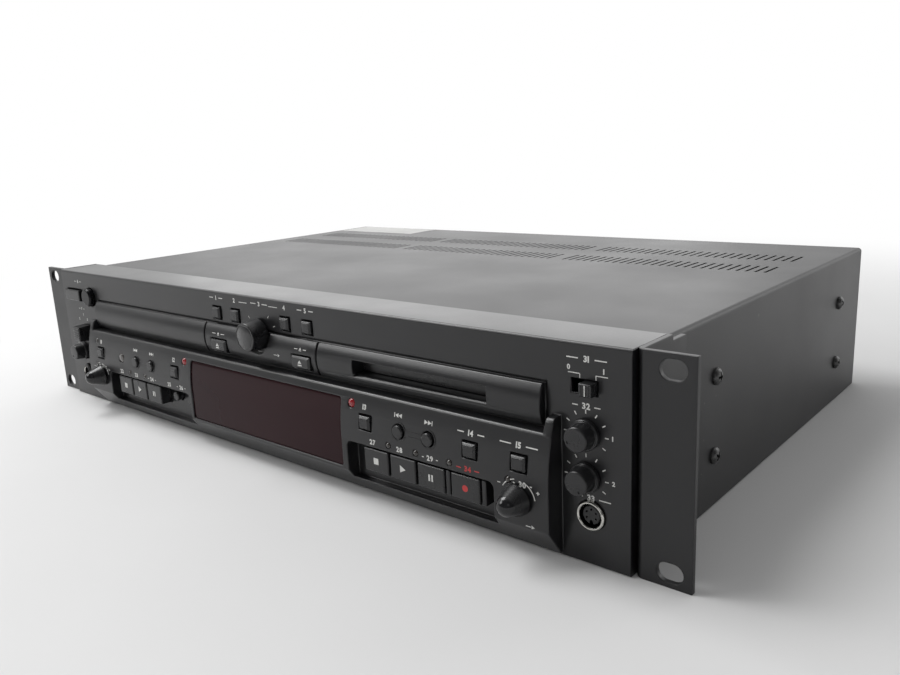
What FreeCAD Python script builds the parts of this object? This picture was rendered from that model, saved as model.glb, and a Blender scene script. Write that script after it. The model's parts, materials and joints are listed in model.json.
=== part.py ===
import FreeCAD, Part
import math
import os
import re
import Sketcher

# Rack-mount disc deck, two units high, with a disc drawer on the left and a cartridge slot on the right.
# X runs to the right, Y to the back and Z up. In the formulas Y counts from the front of the rack ears,
# and "datum" is where that plane lies in the finished frame, whose origin is under the middle of the deck.

sizes = {
    # overall frame
    "datum": -138.1, "deckBack": 291.3, "deckTop": 86.7, "coverHalf": 218.4, "sheetThick": 1.2,
    "coverThick": 1.0, "coverFront": 25.2, "coverBack": 287.6, "coverLow": 0.8, "coverBend": 2.2,
    # moulded front
    "panelHalf": 218.2, "panelTop": 88.0, "panelLow": 0.4, "panelFace": -2.0, "panelBack": 1.0,
    "returnWall": 2.4, "returnBack": 24.8, "panelEdge": 1.2, "lowReturn": 8.0, "lowWall": 1.6,
    # raised fascia on the front
    "fasciaLeft": -173.2, "fasciaRight": 188.6, "fasciaFace": -11.8, "fasciaWall": 2.2, "fasciaTop": 52.4,
    "fasciaLow": 1.6, "fasciaToe": -3.4, "fasciaChin": 13.0, "bulgeStart": 30.0, "bulgeRadius": 80.0,
    "fasciaEdge": 1.6, "cheekWide": 3.8, "cheekTop": 58.4, "cheekRound": 3.0,
    # curved band above the fascia: drawer front, fixed middle and slot bezel, with a groove round it
    "bandLow": 53.4, "bandTop": 70.2, "bandEdge": -3.6, "bandRadius": 16.2, "grooveWide": 0.8,
    "grooveDeep": 1.5, "drawerLeft": -168.6, "drawerRight": -42.7, "middleLeft": -41.8,
    "middleRight": 51.6, "bezelLeft": 52.5, "bezelRight": 181.5,
    # rack ears
    "earOut": 241.3, "earHigh": 88.1, "earThick": 2.5, "earFlange": 36.0, "earBend": 3.6,
    "flangeStep": 24.8, "flangeDrop": 2.2, "slotSpanX": 465.1, "slotSpanZ": 76.2, "slotLow": 5.95,
    "slotLong": 10.4, "slotWide": 7.6,
    # vents in the cover
    "slitWide": 1.5, "slitLong": 20.0, "slitPitch": 5.0, "slitCount": 26, "ventFront": 178.0,
    "ventStep": 41.0, "ventGroup": 136.5,
    # screws
    "screwRadius": 1.5, "screwHole": 1.7, "screwHead": 3.8, "screwHeadHigh": 2.5, "screwLong": 7.0,
    "screwFrontY": 71.0, "screwBackY": 246.0, "screwHighZ": 60.0, "screwLowZ": 24.5, "earScrewY": 31.0,
    "earScrewHighZ": 56.0, "earScrewLowZ": 20.0,
    # controls: common sizes
    "gap": 0.35, "lip": 0.6, "flangeThick": 1.0, "stemWide": 3.0, "stemEnd": 4.2, "keyEdge": 0.45,
    "keyTravel": 1.0, "boardFace": 9.0, "boardThick": 1.6, "switchDeep": 3.2, "switchWide": 6.0,
    "shaftRadius": 3.0, "shaftGap": 0.05, "sleeveRadius": 4.0, "shaftHole": 4.6, "room": 0.65,
    "keyBevel": 0.9,
    # rows and keys
    "topKeyZ": 76.1, "topKeyWide": 6.8, "topKeyHigh": 6.3, "topKeyFace": -3.5, "discMenuX": -32.9,
    "noX": -16.0, "yesX": 25.8, "cartMenuX": 42.8, "trayKeyWide": 13.5, "trayKeyHigh": 6.3,
    "trayKeyFace": -7.0, "trayKeyZ": 59.0, "openX": -28.8, "ejectX": 40.8, "midRowZ": 38.9,
    "midKeyFace": -12.5, "midKeyBack": -8.2, "modeX": -156.7, "discSelectX": -69.5, "cartSelectX": 89.4,
    "dubbingX": 150.4, "inputSelectX": 174.8, "midKeyWide": 6.8, "midKeyHigh": 6.3, "skipRadius": 3.0,
    "discSkipX": -104.1, "cartSkipX": 119.1, "skipStep": 17.3, "skipFace": -12.6, "keyZ": 21.6,
    "keyWide": 15.2, "keyHigh": 11.0, "keyPitch": 16.6, "keyFace": -11.5, "discPlayX": -112.0,
    "cartPlayX": 111.8, "recordX": 147.4, "ribWide": 2.4, "ribStep": 2.0, "ribFace": -11.1,
    "timeX": -76.2, "displayX": -61.0, "smallRadius": 2.8, "smallKeyZ": 22.5, "smallFace": -8.6,
    "recessTop": 28.0, "recessLow": 9.0, "recessFloor": -4.8, "recessRound": 3.0, "floorThick": 2.0,
    "discRecessLeft": -147.0, "discRecessRight": -55.6, "cartRecessLeft": 76.4, "cartRecessRight": 162.4,
    # knobs
    "jogX": 4.8, "jogZ": 68.6, "jogRadius": 8.2, "jogFace": -12.4, "jogBase": -3.0, "jogRecess": 10.2,
    "jogCrown": 0.5, "jogTaper": 0.7, "pitchZ": 24.0, "discPitchX": -157.5, "cartPitchX": 174.4,
    "pitchRadius": 6.6, "pitchFace": -23.0, "pitchBase": -12.8, "domeRadius": 4.55, "domeDeep": 3.4,
    "levelRadius": 5.3, "levelFace": -10.0, "levelBase": -2.5, "levelCrown": 0.7, "levelTaper": 0.4,
    "skirtRadius": 6.1, "skirtDeep": 1.8, "rightColumnX": 199.4, "inputLeftZ": 53.1, "inputRightZ": 35.9,
    "phonesKnobX": -199.0, "phonesKnobZ": 33.1, "pushTravel": 0.8,
    # power, timer and continuous play
    "powerX": -200.7, "powerZ": 72.0, "powerWide": 19.4, "powerHigh": 7.4, "powerFace": -4.4,
    "powerTravel": 2.0, "powerDiscX": -179.3, "powerDiscRadius": 6.0, "powerDiscFace": -5.6,
    "powerDiscEdge": 1.4, "timerX": -190.5, "timerZ": 47.0, "timerWide": 8.0, "timerHigh": 9.4,
    "timerFace": -10.2, "timerTravel": 3.5, "neckWide": 4.0, "neckHigh": 3.0, "playSlotX": 198.8,
    "playSlotZ": 71.3, "playSlotWide": 11.4, "playSlotHigh": 5.6, "thumbWide": 5.4, "thumbHigh": 4.9,
    "thumbFace": -6.4, "thumbX": 201.5, "playTravel": 5.2,
    # display window
    "windowLeft": -53.0, "windowRight": 72.8, "windowLow": 14.4, "windowTop": 48.0, "windowLap": 0.5,
    "windowRound": 1.5, "windowDeep": 0.8, "windowBackLow": -8.6, "windowBackTop": -6.8, "tubeFace": -1.5,
    # lamps
    "lampRadius": 1.4, "bigLampRadius": 2.1, "lampLong": 6.0, "lampHigh": 46.3, "lampLow": 31.2,
    "discLampX": -59.7, "cartLampX": 79.8, "modeLampX": -161.9, "discPitchLampX": -162.2,
    "cartPitchLampX": 169.9, "discReadyLampX": -103.3, "discPlayLampX": -121.0, "cartPlayLampX": 103.9,
    "cartReadyLampX": 120.4, "recordLampX": 139.5, "sensorX": -130.3, "sensorRadius": 3.0,
    # sockets on the front
    "socketZ": 18.3, "keyboardZ": 21.0, "phonesX": -197.0, "phonesBore": 3.2, "phonesSleeve": 4.6,
    "phonesNut": 5.8, "phonesNose": -4.2, "phonesDeep": 26.0, "keyboardX": 201.6, "keyboardRing": 5.9,
    "keyboardWell": 4.8, "keyboardCore": 3.8, "keyboardNose": -3.4, "keyboardDeep": 12.0,
    # cartridge slot and shutter
    "mouthLeft": 77.3, "mouthRight": 155.5, "mouthLow": 58.6, "mouthTop": 65.3, "throatWall": 1.6,
    "throatBack": 11.0, "shutterThick": 1.0, "shutterAxisY": 1.6, "shutterAxisZ": 65.9, "pinRadius": 0.7,
    "shutterLong": 7.0, "shutterSwing": 78.0, "chamfer": 1.8,
    # disc drawer
    "trayLeft": -167.4, "trayRight": -43.9, "trayLow": 55.2, "trayHigh": 6.0, "trayBack": 176.0,
    "trayTravel": 140.0, "discX": -105.65, "discY": 78.0, "discRadius": 60.5, "smallDiscRadius": 41.0,
    "discRecess": 2.2, "laserHalf": 20.0, "gearModule": 1.2, "gearTeeth": 30, "gearThick": 3.6,
    "gearY": 32.0, "gearBore": 2.05, "toothHalfTip": 0.34, "toothHalfRoot": 1.1, "toothOut": 0.95,
    "toothIn": 1.35, "rackTeeth": 42, "rackX": -45.2, "rackHigh": 4.2, "loaderLeft": -176.0,
    "loaderRight": -35.0, "loaderFront": 15.0, "loaderBack": 214.0, "loaderFloor": 40.0,
    "loaderTop": 66.6, "loaderWall": 3.0, "hubRadius": 14.0, "hubNeck": 6.0, "hubNeckHigh": 4.0,
    "hubPlateTop": 6.0, "coneBase": 7.3, "coneTop": 6.4, "hubHigh": 8.4, "spindleRadius": 1.5,
    "motorRadius": 13.0,
    # cartridge mechanism
    "cartLeft": 72.0, "cartRight": 161.0, "cartFront": 15.0, "cartBack": 150.0, "cartFloor": 44.0,
    "cartTop": 74.0, "tunnelLeft": 79.4, "tunnelRight": 153.4, "tunnelLow": 58.6, "tunnelTop": 64.9,
    "tunnelDeep": 90.0,
    # boards, supply and back panel
    "mainLeft": -30.0, "mainRight": 206.0, "mainFront": 150.0, "mainBack": 276.0, "mainLow": 9.0,
    "lugWide": 12.0, "chipHalf": 11.0, "chipHigh": 2.4, "canRadius": 5.0, "canHigh": 14.0,
    "coreLeft": -203.0, "coreRight": -143.0, "coreFront": 217.0, "coreBack": 267.0, "coreLow": 2.0,
    "coreHigh": 46.0, "legLong": 16.0, "legThick": 3.0, "backPanelLow": 1.4, "backPanelTop": 85.4,
    "backFlange": 12.0, "inletX": -176.0, "inletZ": 30.0, "inletWide": 27.0, "inletHigh": 19.6,
    "inletDeep": 21.0, "flangeWide": 49.0, "flangeHigh": 23.0, "socketWide": 24.0, "socketHigh": 16.2,
    "phonoRadius": 4.2, "phonoBore": 1.7, "phonoLong": 7.9, "phonoStep": 15.0, "phonoX": 46.0,
    "phonoLowZ": 24.0, "phonoHighZ": 40.0, "opticalX": 10.0, "controlX": -60.0, "controlZ": 32.0,
    "controlWide": 39.0, "controlHigh": 12.4, "jackBlockDeep": 12.0,
}

doc = FreeCAD.newDocument("rack_disc_deck")
dims = doc.addObject("Spreadsheet::Sheet", "dims")


def fillSheet():
    for row, (alias, size) in enumerate(sizes.items(), 1):
        dims.set(f"A{row}", alias)
        dims.set(f"B{row}", str(size))
        dims.setAlias(f"B{row}", alias)
    doc.recompute()


def cells(formula):
    """The formula with each alias written as a cell of the sheet."""
    return re.sub(r"[A-Za-z]\w*", lambda word: "dims." + word[0] if word[0] in sizes else word[0], formula)


def value(formula):
    return float(dims.evalExpression(cells(formula)))


def bind(thing, prop, formula):
    thing.setExpression(prop, cells(formula))


def place(thing, x="0", y="0", z="0"):
    bind(thing, "Placement.Base.x", x)
    bind(thing, "Placement.Base.y", f"datum + ({y})")
    bind(thing, "Placement.Base.z", z)


# ---- Part primitives and booleans -------------------------------------------------------------------

def block(label, x, y, z):
    """A box between two formulas on each axis."""
    box = doc.addObject("Part::Box", label)
    for prop, (low, high) in zip(("Length", "Width", "Height"), (x, y, z)):
        bind(box, prop, f"({high}) - ({low})")
    place(box, x[0], y[0], z[0])
    return box


turns = {"X": ((0, 1, 0), 90), "Y": ((1, 0, 0), -90), "Z": ((0, 0, 1), 0)}


def rod(label, radius, length, x, y, z, along="Y"):
    """A cylinder whose first end is centred on the given point."""
    axis, angle = turns[along]
    cylinder = doc.addObject("Part::Cylinder", label)
    cylinder.Placement = FreeCAD.Placement(FreeCAD.Vector(), FreeCAD.Rotation(FreeCAD.Vector(*axis), angle))
    bind(cylinder, "Radius", radius)
    bind(cylinder, "Height", length)
    place(cylinder, x, y, z)
    return cylinder


def prism(label, radius, length, x, y, z, along="Y"):
    """A twelve-sided stand-in for a small cylinder that repeats many times."""
    axis, angle = turns[along]
    solid = doc.addObject("Part::Prism", label)
    solid.Polygon = 12
    solid.Placement = FreeCAD.Placement(FreeCAD.Vector(), FreeCAD.Rotation(FreeCAD.Vector(*axis), angle))
    bind(solid, "Circumradius", radius)
    bind(solid, "Height", length)
    place(solid, x, y, z)
    return solid


def group(label, members):
    bundle = doc.addObject("Part::Compound", label)
    bundle.Links = members
    return bundle


def fuse(label, members):
    joined = doc.addObject("Part::MultiFuse", label)
    joined.Shapes = members
    return joined


def cut(label, base, tools):
    tool = tools[0] if len(tools) == 1 else group(label + "_tools", tools)
    result = doc.addObject("Part::Cut", label)
    result.Base = base
    result.Tool = tool
    return result


def common(label, first, second):
    overlap = doc.addObject("Part::MultiCommon", label)
    overlap.Shapes = [first, second]
    return overlap


# ---- PartDesign bodies ------------------------------------------------------------------------------

def newBody(label, x="0", y="0", z="0"):
    body = doc.addObject("PartDesign::Body", label)
    place(body, x, y, z)
    return body


def newSketch(body, role, offset="0"):
    """A sketch on one of the body's origin planes, moved along that plane's normal."""
    sketch = body.newObject("Sketcher::SketchObject", body.Name + "_outline")
    plane = next(feature for feature in body.Origin.OriginFeatures if feature.Role == role)
    sketch.AttachmentSupport = [(plane, "")]
    sketch.MapMode = "FlatFace"
    bind(sketch, "AttachmentOffset.Base.z", offset)
    return sketch


def arcBetween(start, end, radius):
    """The arc from start to end whose centre lies to the left of the way there."""
    chord = end - start
    reach = math.sqrt(radius ** 2 - (chord.Length / 2) ** 2)
    left = FreeCAD.Vector(-chord.y, chord.x, 0).normalize()
    centre = (start + end) / 2 + left * reach
    angles = [math.atan2(point.y - centre.y, point.x - centre.x) for point in (start, end)]
    circle = Part.Circle(centre, FreeCAD.Vector(0, 0, 1), radius)
    return Part.ArcOfCircle(circle, angles[0], angles[1])


nearlyHalf = 0.995    # an arc nearer to a half circle is held by its centre, not its radius


def outline(sketch, corners):
    """A closed outline. A corner with a third formula starts an arc of that radius."""
    points = [FreeCAD.Vector(value(corner[0]), value(corner[1]), 0) for corner in corners]
    first = sketch.GeometryCount
    for index, corner in enumerate(corners):
        start, end = points[index], points[(index + 1) % len(points)]
        if len(corner) == 3:
            sketch.addGeometry(arcBetween(start, end, value(corner[2])), False)
        else:
            sketch.addGeometry(Part.LineSegment(start, end), False)
    for index, corner in enumerate(corners):
        edge = first + index
        after = first + (index + 1) % len(corners)
        sketch.addConstraint(Sketcher.Constraint("Coincident", edge, 2, after, 1))
        for kind, size, formula in (("DistanceX", points[index].x, corner[0]),
                                    ("DistanceY", points[index].y, corner[1])):
            number = sketch.addConstraint(Sketcher.Constraint(kind, -1, 1, edge, 1, size))
            bind(sketch, f"Constraints[{number}]", formula)
        chord = points[index].distanceToPoint(points[(index + 1) % len(corners)])
        if len(corner) == 3 and chord < nearlyHalf * 2 * value(corner[2]):
            number = sketch.addConstraint(Sketcher.Constraint("Radius", edge, value(corner[2])))
            bind(sketch, f"Constraints[{number}]", corner[2])
        elif len(corner) == 3:
            number = sketch.addConstraint(Sketcher.Constraint("DistanceX", -1, 1, edge, 3, points[index].x))
            bind(sketch, f"Constraints[{number}]", corner[0])


def rectangle(sketch, wide, high, x="0", y="0"):
    left, right = f"{x} - ({wide}) / 2", f"{x} + ({wide}) / 2"
    low, top = f"{y} - ({high}) / 2", f"{y} + ({high}) / 2"
    outline(sketch, [(left, low), (right, low), (right, top), (left, top)])


def ring(sketch, radius, x="0", y="0"):
    centre = FreeCAD.Vector(value(x), value(y), 0)
    edge = sketch.addGeometry(Part.Circle(centre, FreeCAD.Vector(0, 0, 1), value(radius)), False)
    for kind, size, formula in (("DistanceX", centre.x, x), ("DistanceY", centre.y, y)):
        number = sketch.addConstraint(Sketcher.Constraint(kind, -1, 1, edge, 3, size))
        bind(sketch, f"Constraints[{number}]", formula)
    number = sketch.addConstraint(Sketcher.Constraint("Radius", edge, value(radius)))
    bind(sketch, f"Constraints[{number}]", radius)


def extrude(body, sketch, length, kind="PartDesign::Pad", backwards=False):
    feature = body.newObject(kind, body.Name + "_" + kind.split("::")[1].lower())
    feature.Profile = sketch
    bind(feature, "Length", length)
    feature.Reversed = backwards
    return feature


def revolve(body, sketch, axis="V_Axis"):
    feature = body.newObject("PartDesign::Revolution", body.Name + "_turned")
    feature.Profile = sketch
    feature.ReferenceAxis = (sketch, [axis])
    feature.Angle = 360
    return feature


def softenFront(body, base, size, kind="Fillet"):
    """Rounds or bevels the edges of the face that lies in the body's own XZ plane."""
    doc.recompute()
    names = [f"Edge{index}" for index, edge in enumerate(base.Shape.Edges, 1)
             if all(abs(vertex.Y) < 1e-6 for vertex in edge.Vertexes)]
    edge = body.newObject("PartDesign::" + kind, body.Name + "_soft_edge")
    edge.Base = (base, names)
    bind(edge, "Radius" if kind == "Fillet" else "Size", size)
    return edge


def turnedY(label, x, y, z, profile):
    """A body turned about the Y axis through the point: the profile is in radius and depth."""
    body = newBody(label, x, y, z)
    sketch = newSketch(body, "XY_Plane")
    outline(sketch, profile)
    revolve(body, sketch)
    return body


def beam(label, left, right, profile):
    """A body with a constant side profile, given in depth and height, between two X formulas."""
    body = newBody(label, left)
    sketch = newSketch(body, "YZ_Plane")
    outline(sketch, profile)
    extrude(body, sketch, f"({right}) - ({left})")
    return body


# ---- controls ---------------------------------------------------------------------------------------

def pushKey(label, x, z, face, wide, high, back, room, edge, stem="stemEnd"):
    """A rectangular key: a bevelled cap, a flange behind the wall and a stem to its switch."""
    body = newBody(label, x, face, z)
    sketch = newSketch(body, "XZ_Plane")
    rectangle(sketch, wide, high)
    cap = extrude(body, sketch, f"{back} + gap - ({face})", backwards=True)
    softenFront(body, cap, edge, "Chamfer")
    sketch = newSketch(body, "XZ_Plane", f"-({back} + gap - ({face}))")
    rectangle(sketch, wide, f"{high} + 2 * {room} + 2 * lip")
    extrude(body, sketch, "flangeThick", backwards=True)
    sketch = newSketch(body, "XZ_Plane", f"-({back} + gap + flangeThick - ({face}))")
    rectangle(sketch, "stemWide", "stemWide")
    extrude(body, sketch, f"{stem} - ({back} + gap + flangeThick)", backwards=True)
    return body


def roundKey(label, x, z, face, radius, back):
    """A round key turned in one piece: a chamfered cap, a flange and a stem."""
    cap = f"{back} + gap - ({face})"
    flange = f"{cap} + flangeThick"
    end = f"stemEnd - ({face})"
    return turnedY(label, x, face, z, [
        ("0", "0"), (f"{radius} - keyEdge", "0"), (radius, "keyEdge"), (radius, cap),
        (f"{radius} + lip", cap), (f"{radius} + lip", flange), ("stemWide / 2", flange),
        ("stemWide / 2", end), ("0", end)])


def levelKnob(label, x, z):
    """A plain knob with a crowned front and a skirt at its foot."""
    foot = "(levelBase - levelFace)"
    step = f"{foot} - skirtDeep"
    end = "boardFace - 1 - levelFace"
    return turnedY(label, x, "levelFace", z, [
        ("0", "0"), ("levelRadius - levelTaper - levelCrown", "0"),
        ("levelRadius - levelTaper", "levelCrown"),
        ("levelRadius", step), ("skirtRadius", step), ("skirtRadius", foot), ("shaftRadius", foot),
        ("shaftRadius", end), ("0", end)])


def jogFront():
    """The flat front of the jog knob with its small bevel, in radius and depth."""
    rim = "jogRadius - jogTaper"
    return [("0", "0"), (f"{rim} - jogCrown", "0"), (rim, "jogCrown")]


def domeFront():
    """The domed nose of a pitch knob, in radius and depth."""
    return [("0", "0", "domeRadius"), ("sqrt(domeRadius ^ 2 - (domeRadius - domeDeep) ^ 2)", "domeDeep")]


def pushKnob(label, x, z, radius, face, base, front):
    """A knob that turns with its rotor and slides in it."""
    foot = f"{base} - ({face})"
    end = f"boardFace - 4 - pushTravel - ({face})"
    return turnedY(label, x, face, z, front() + [
        (radius, foot), ("shaftRadius", foot), ("shaftRadius", end), ("0", end)])


def rotor(label, x, z):
    """The sleeve that turns in the encoder and carries the knob's shaft."""
    inner = "shaftRadius + shaftGap"
    front, back = "boardFace - 11", "boardFace - 0.4"
    return turnedY(label, x, front, z, [
        (inner, "0"), ("sleeveRadius", "0"), ("sleeveRadius", f"{back} - ({front})"),
        (inner, f"{back} - ({front})")])


# height, face, width, height of the key, inner side of the wall, room in the wall, bevel
topRow = ("topKeyZ", "topKeyFace", "topKeyWide", "topKeyHigh", "panelBack", "room", "keyBevel")
trayRow = ("trayKeyZ", "trayKeyFace", "trayKeyWide", "trayKeyHigh", "panelBack", "room", "keyBevel")
midRow = ("midRowZ", "midKeyFace", "midKeyWide", "midKeyHigh", "midKeyBack", "room", "keyBevel")
playRow = ("keyZ", "keyFace", "keyWide", "keyHigh", "recessBack", "gap", "keyEdge")
rectKeys = [
    ("cd_menu_button", "discMenuX", *topRow),
    ("no_button", "noX", *topRow),
    ("yes_button", "yesX", *topRow),
    ("md_menu_button", "cartMenuX", *topRow),
    ("open_close_button", "openX", *trayRow),
    ("eject_button", "ejectX", *trayRow),
    ("cd_mode_button", "modeX", *midRow),
    ("cd_select_button", "discSelectX", *midRow),
    ("md_select_button", "cartSelectX", *midRow),
    ("dubbing_button", "dubbingX", *midRow),
    ("input_select_button", "inputSelectX", *midRow),
    ("cd_stop_button", "discPlayX - keyPitch", *playRow),
    ("cd_play_button", "discPlayX", *playRow),
    ("cd_pause_button", "discPlayX + keyPitch", *playRow),
    ("md_stop_button", "cartPlayX - keyPitch", *playRow),
    ("md_play_button", "cartPlayX", *playRow),
    ("md_pause_button", "cartPlayX + keyPitch", *playRow),
    ("md_record_button", "recordX", *playRow),
]
roundKeys = [
    # label, x, z, face, radius, inner side of the wall
    ("cd_skip_back_button", "discSkipX - skipStep / 2", "midRowZ", "skipFace", "skipRadius", "midKeyBack"),
    ("cd_skip_forward_button", "discSkipX + skipStep / 2", "midRowZ", "skipFace", "skipRadius", "midKeyBack"),
    ("md_skip_back_button", "cartSkipX - skipStep / 2", "midRowZ", "skipFace", "skipRadius", "midKeyBack"),
    ("md_skip_forward_button", "cartSkipX + skipStep / 2", "midRowZ", "skipFace", "skipRadius", "midKeyBack"),
    ("time_button", "timeX", "smallKeyZ", "smallFace", "smallRadius", "recessBack"),
    ("display_button", "displayX", "smallKeyZ", "smallFace", "smallRadius", "recessBack"),
]
levelKnobs = [
    ("phones_level_knob", "phonesKnobX", "phonesKnobZ"),
    ("input_left_knob", "rightColumnX", "inputLeftZ"),
    ("input_right_knob", "rightColumnX", "inputRightZ"),
]
pushKnobs = [
    # label, rotor, x, z, radius, face, base
    ("jog_knob", "jog_rotor", "jogX", "jogZ", "jogRadius", "jogFace", "jogBase"),
    ("cd_pitch_knob", "cd_pitch_rotor", "discPitchX", "pitchZ", "pitchRadius", "pitchFace", "pitchBase"),
    ("md_pitch_knob", "md_pitch_rotor", "cartPitchX", "pitchZ", "pitchRadius", "pitchFace", "pitchBase"),
]
lowLamps = ["discPitchLampX", "cartPitchLampX", "discReadyLampX", "discPlayLampX", "cartPlayLampX",
            "cartReadyLampX", "recordLampX"]
lamps = [(lamp, "lampLow", "lampRadius") for lamp in lowLamps] + [("modeLampX", "lampHigh", "lampRadius")]
lamps += [(lamp, "lampHigh", "bigLampRadius") for lamp in ("discLampX", "cartLampX")]
sizes["recessBack"] = sizes["recessFloor"] + sizes["floorThick"]


def makeControls():
    for key in rectKeys:
        pushKey(*key)
    for key in roundKeys:
        roundKey(*key)
    for knob in levelKnobs:
        levelKnob(*knob)
    for label, rotorLabel, *shape in pushKnobs:
        pushKnob(label, *shape, jogFront if label == "jog_knob" else domeFront)
        rotor(rotorLabel, *shape[:2])
    powerKey()
    timerKnob()
    playThumb()


def powerKey():
    """The power key: a long bar and a round cap, joined by a plate behind the wall."""
    bar = pushKey("power_bar", "powerX", "powerZ", "powerFace", "powerWide", "powerHigh", "panelBack",
                  "gap", "keyEdge", "boardFace - switchDeep - powerTravel - gap")
    foot = "panelBack + gap + flangeThick - powerDiscFace"
    cap = turnedY("power_cap", "powerDiscX", "powerDiscFace", "powerZ", [
        ("0", "0"), ("powerDiscRadius - powerDiscEdge", "0", "powerDiscEdge"),
        ("powerDiscRadius", "powerDiscEdge"), ("powerDiscRadius", foot), ("0", foot)])
    bridge = block("power_bridge", ("powerX", "powerDiscX"),
                   ("panelBack + gap", "panelBack + gap + flangeThick"),
                   ("powerZ - powerHigh / 2", "powerZ + powerHigh / 2"))
    return fuse("power_button", [bar, cap, bridge])


def timerKnob():
    """The three-way slider: a tapered grip outside, on a neck that runs in its slot."""
    grip = newBody("timer_grip", "timerX", "timerFace", "timerZ")
    sketch = newSketch(grip, "XZ_Plane")
    rectangle(sketch, "timerWide", "timerHigh")
    pad = extrude(grip, sketch, "panelFace - gap - timerFace", backwards=True)
    pad.TaperAngle = 4
    softenFront(grip, pad, "keyEdge", "Chamfer")
    neck = block("timer_neck", ("timerX - neckWide / 2", "timerX + neckWide / 2"),
                 ("panelFace - gap", "boardFace - switchDeep - gap"),
                 ("timerZ - neckHigh / 2", "timerZ + neckHigh / 2"))
    return fuse("timer_switch_knob", [grip, neck])


def playThumb():
    """The two-way slider: a ridged thumb that fills half of its slot."""
    body = newBody("cont_play_slider", "thumbX", "thumbFace", "playSlotZ")
    sketch = newSketch(body, "XZ_Plane")
    rectangle(sketch, "thumbWide", "thumbHigh")
    thumb = extrude(body, sketch, "boardFace - switchDeep - gap - thumbFace", backwards=True)
    softenFront(body, thumb, "keyEdge")
    return body


# ---- moulded front ----------------------------------------------------------------------------------

def leanBack(inset, z):
    """How far the curved face lies behind its upright part at the given height."""
    radius = f"(bulgeRadius - {inset})"
    return f"({radius} - sqrt({radius} ^ 2 - ({z} - bulgeStart) ^ 2))"


def fasciaProfile(inset, top, toe, edge=None):
    """Side profile of the fascia: a chin that slopes in to the foot, an upright face that curves back."""
    face = f"fasciaFace + {inset}"
    shoulder = f"({top} - {edge})" if edge else top
    lean = leanBack(inset, shoulder)
    corner = [(f"{face} + {lean} + {edge}", top, edge)] if edge else []
    return [(toe, f"fasciaLow + {inset}"), (toe, top)] + corner + [
        (f"{face} + {lean}", shoulder, f"bulgeRadius - {inset}"), (face, "bulgeStart"), (face, "fasciaChin"),
        (f"fasciaToe + {inset}", f"fasciaLow + {inset}")]


def bandProfile(inset, back):
    """Side profile of the curved band, thinner all round by the inset."""
    low, top = f"bandLow + {inset}", f"bandTop - {inset}"
    return [(back, low), (back, top), (f"bandEdge + {inset}", top, "bandRadius"),
            (f"bandEdge + {inset}", low)]


def cheek(label, left, right):
    """An end wall of the fascia, which rises beside the band to a rounded top."""
    top = "cheekTop - cheekRound"
    front = f"fasciaFace + {leanBack('0', top)}"
    return beam(label, left, right, [
        ("panelFace", "fasciaLow"), ("panelFace", "cheekTop"),
        (f"{front} + cheekRound", "cheekTop", "cheekRound"),
        (front, top, "bulgeRadius"), ("fasciaFace", "bulgeStart"), ("fasciaFace", "fasciaChin"),
        ("fasciaToe", "fasciaLow")])


def roundedRecess(label, left, right):
    """The hollow round a row of transport keys, open through the chin, with round upper corners."""
    body = newBody(label, "0", "recessFloor")
    sketch = newSketch(body, "XZ_Plane")
    shoulder = "recessTop - recessRound"
    outline(sketch, [(left, "recessLow"), (right, "recessLow"), (right, shoulder, "recessRound"),
                     (f"{right} - recessRound", "recessTop"),
                     (f"{left} + recessRound", "recessTop", "recessRound"), (left, shoulder)])
    extrude(body, sketch, "recessFloor - fasciaFace + 3")
    return body


def windowHole():
    """The window's opening, with round corners."""
    body = newBody("hole_window", "0", "panelBack + 1")
    sketch = newSketch(body, "XZ_Plane")
    left, right, low, top, turn = "windowLeft", "windowRight", "windowLow", "windowTop", "windowRound"
    outline(sketch, [
        (f"{left} + {turn}", low), (f"{right} - {turn}", low, turn), (right, f"{low} + {turn}"),
        (right, f"{top} - {turn}", turn), (f"{right} - {turn}", top), (f"{left} + {turn}", top, turn),
        (left, f"{top} - {turn}"), (left, f"{low} + {turn}", turn)])
    extrude(body, sketch, "30 + panelBack")
    return body


def windowSeat():
    """The rebate behind the wall that the window is set in."""
    depth = beam("seat_depth", "windowLeft - windowLap", "windowRight + windowLap",
                 fasciaProfile("windowDeep", "fasciaTop", "panelFace"))
    band = block("seat_band", ("windowLeft - windowLap - 1", "windowRight + windowLap + 1"),
                 (farFront, "panelFace"), ("windowLow - windowLap", "windowTop + windowLap"))
    return common("window_seat", depth, band)


farFront, farBack = "-30", "panelBack + 1"    # in front of and behind all that a front hole goes through


def through(label, x, z, wide, high, front=farFront, back=farBack):
    return block(label, (f"{x} - ({wide}) / 2", f"{x} + ({wide}) / 2"), (front, back),
                 (f"{z} - ({high}) / 2", f"{z} + ({high}) / 2"))


def roundThrough(label, x, z, radius):
    return rod(label, radius, f"{farBack} - ({farFront})", x, farFront, z)


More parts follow.
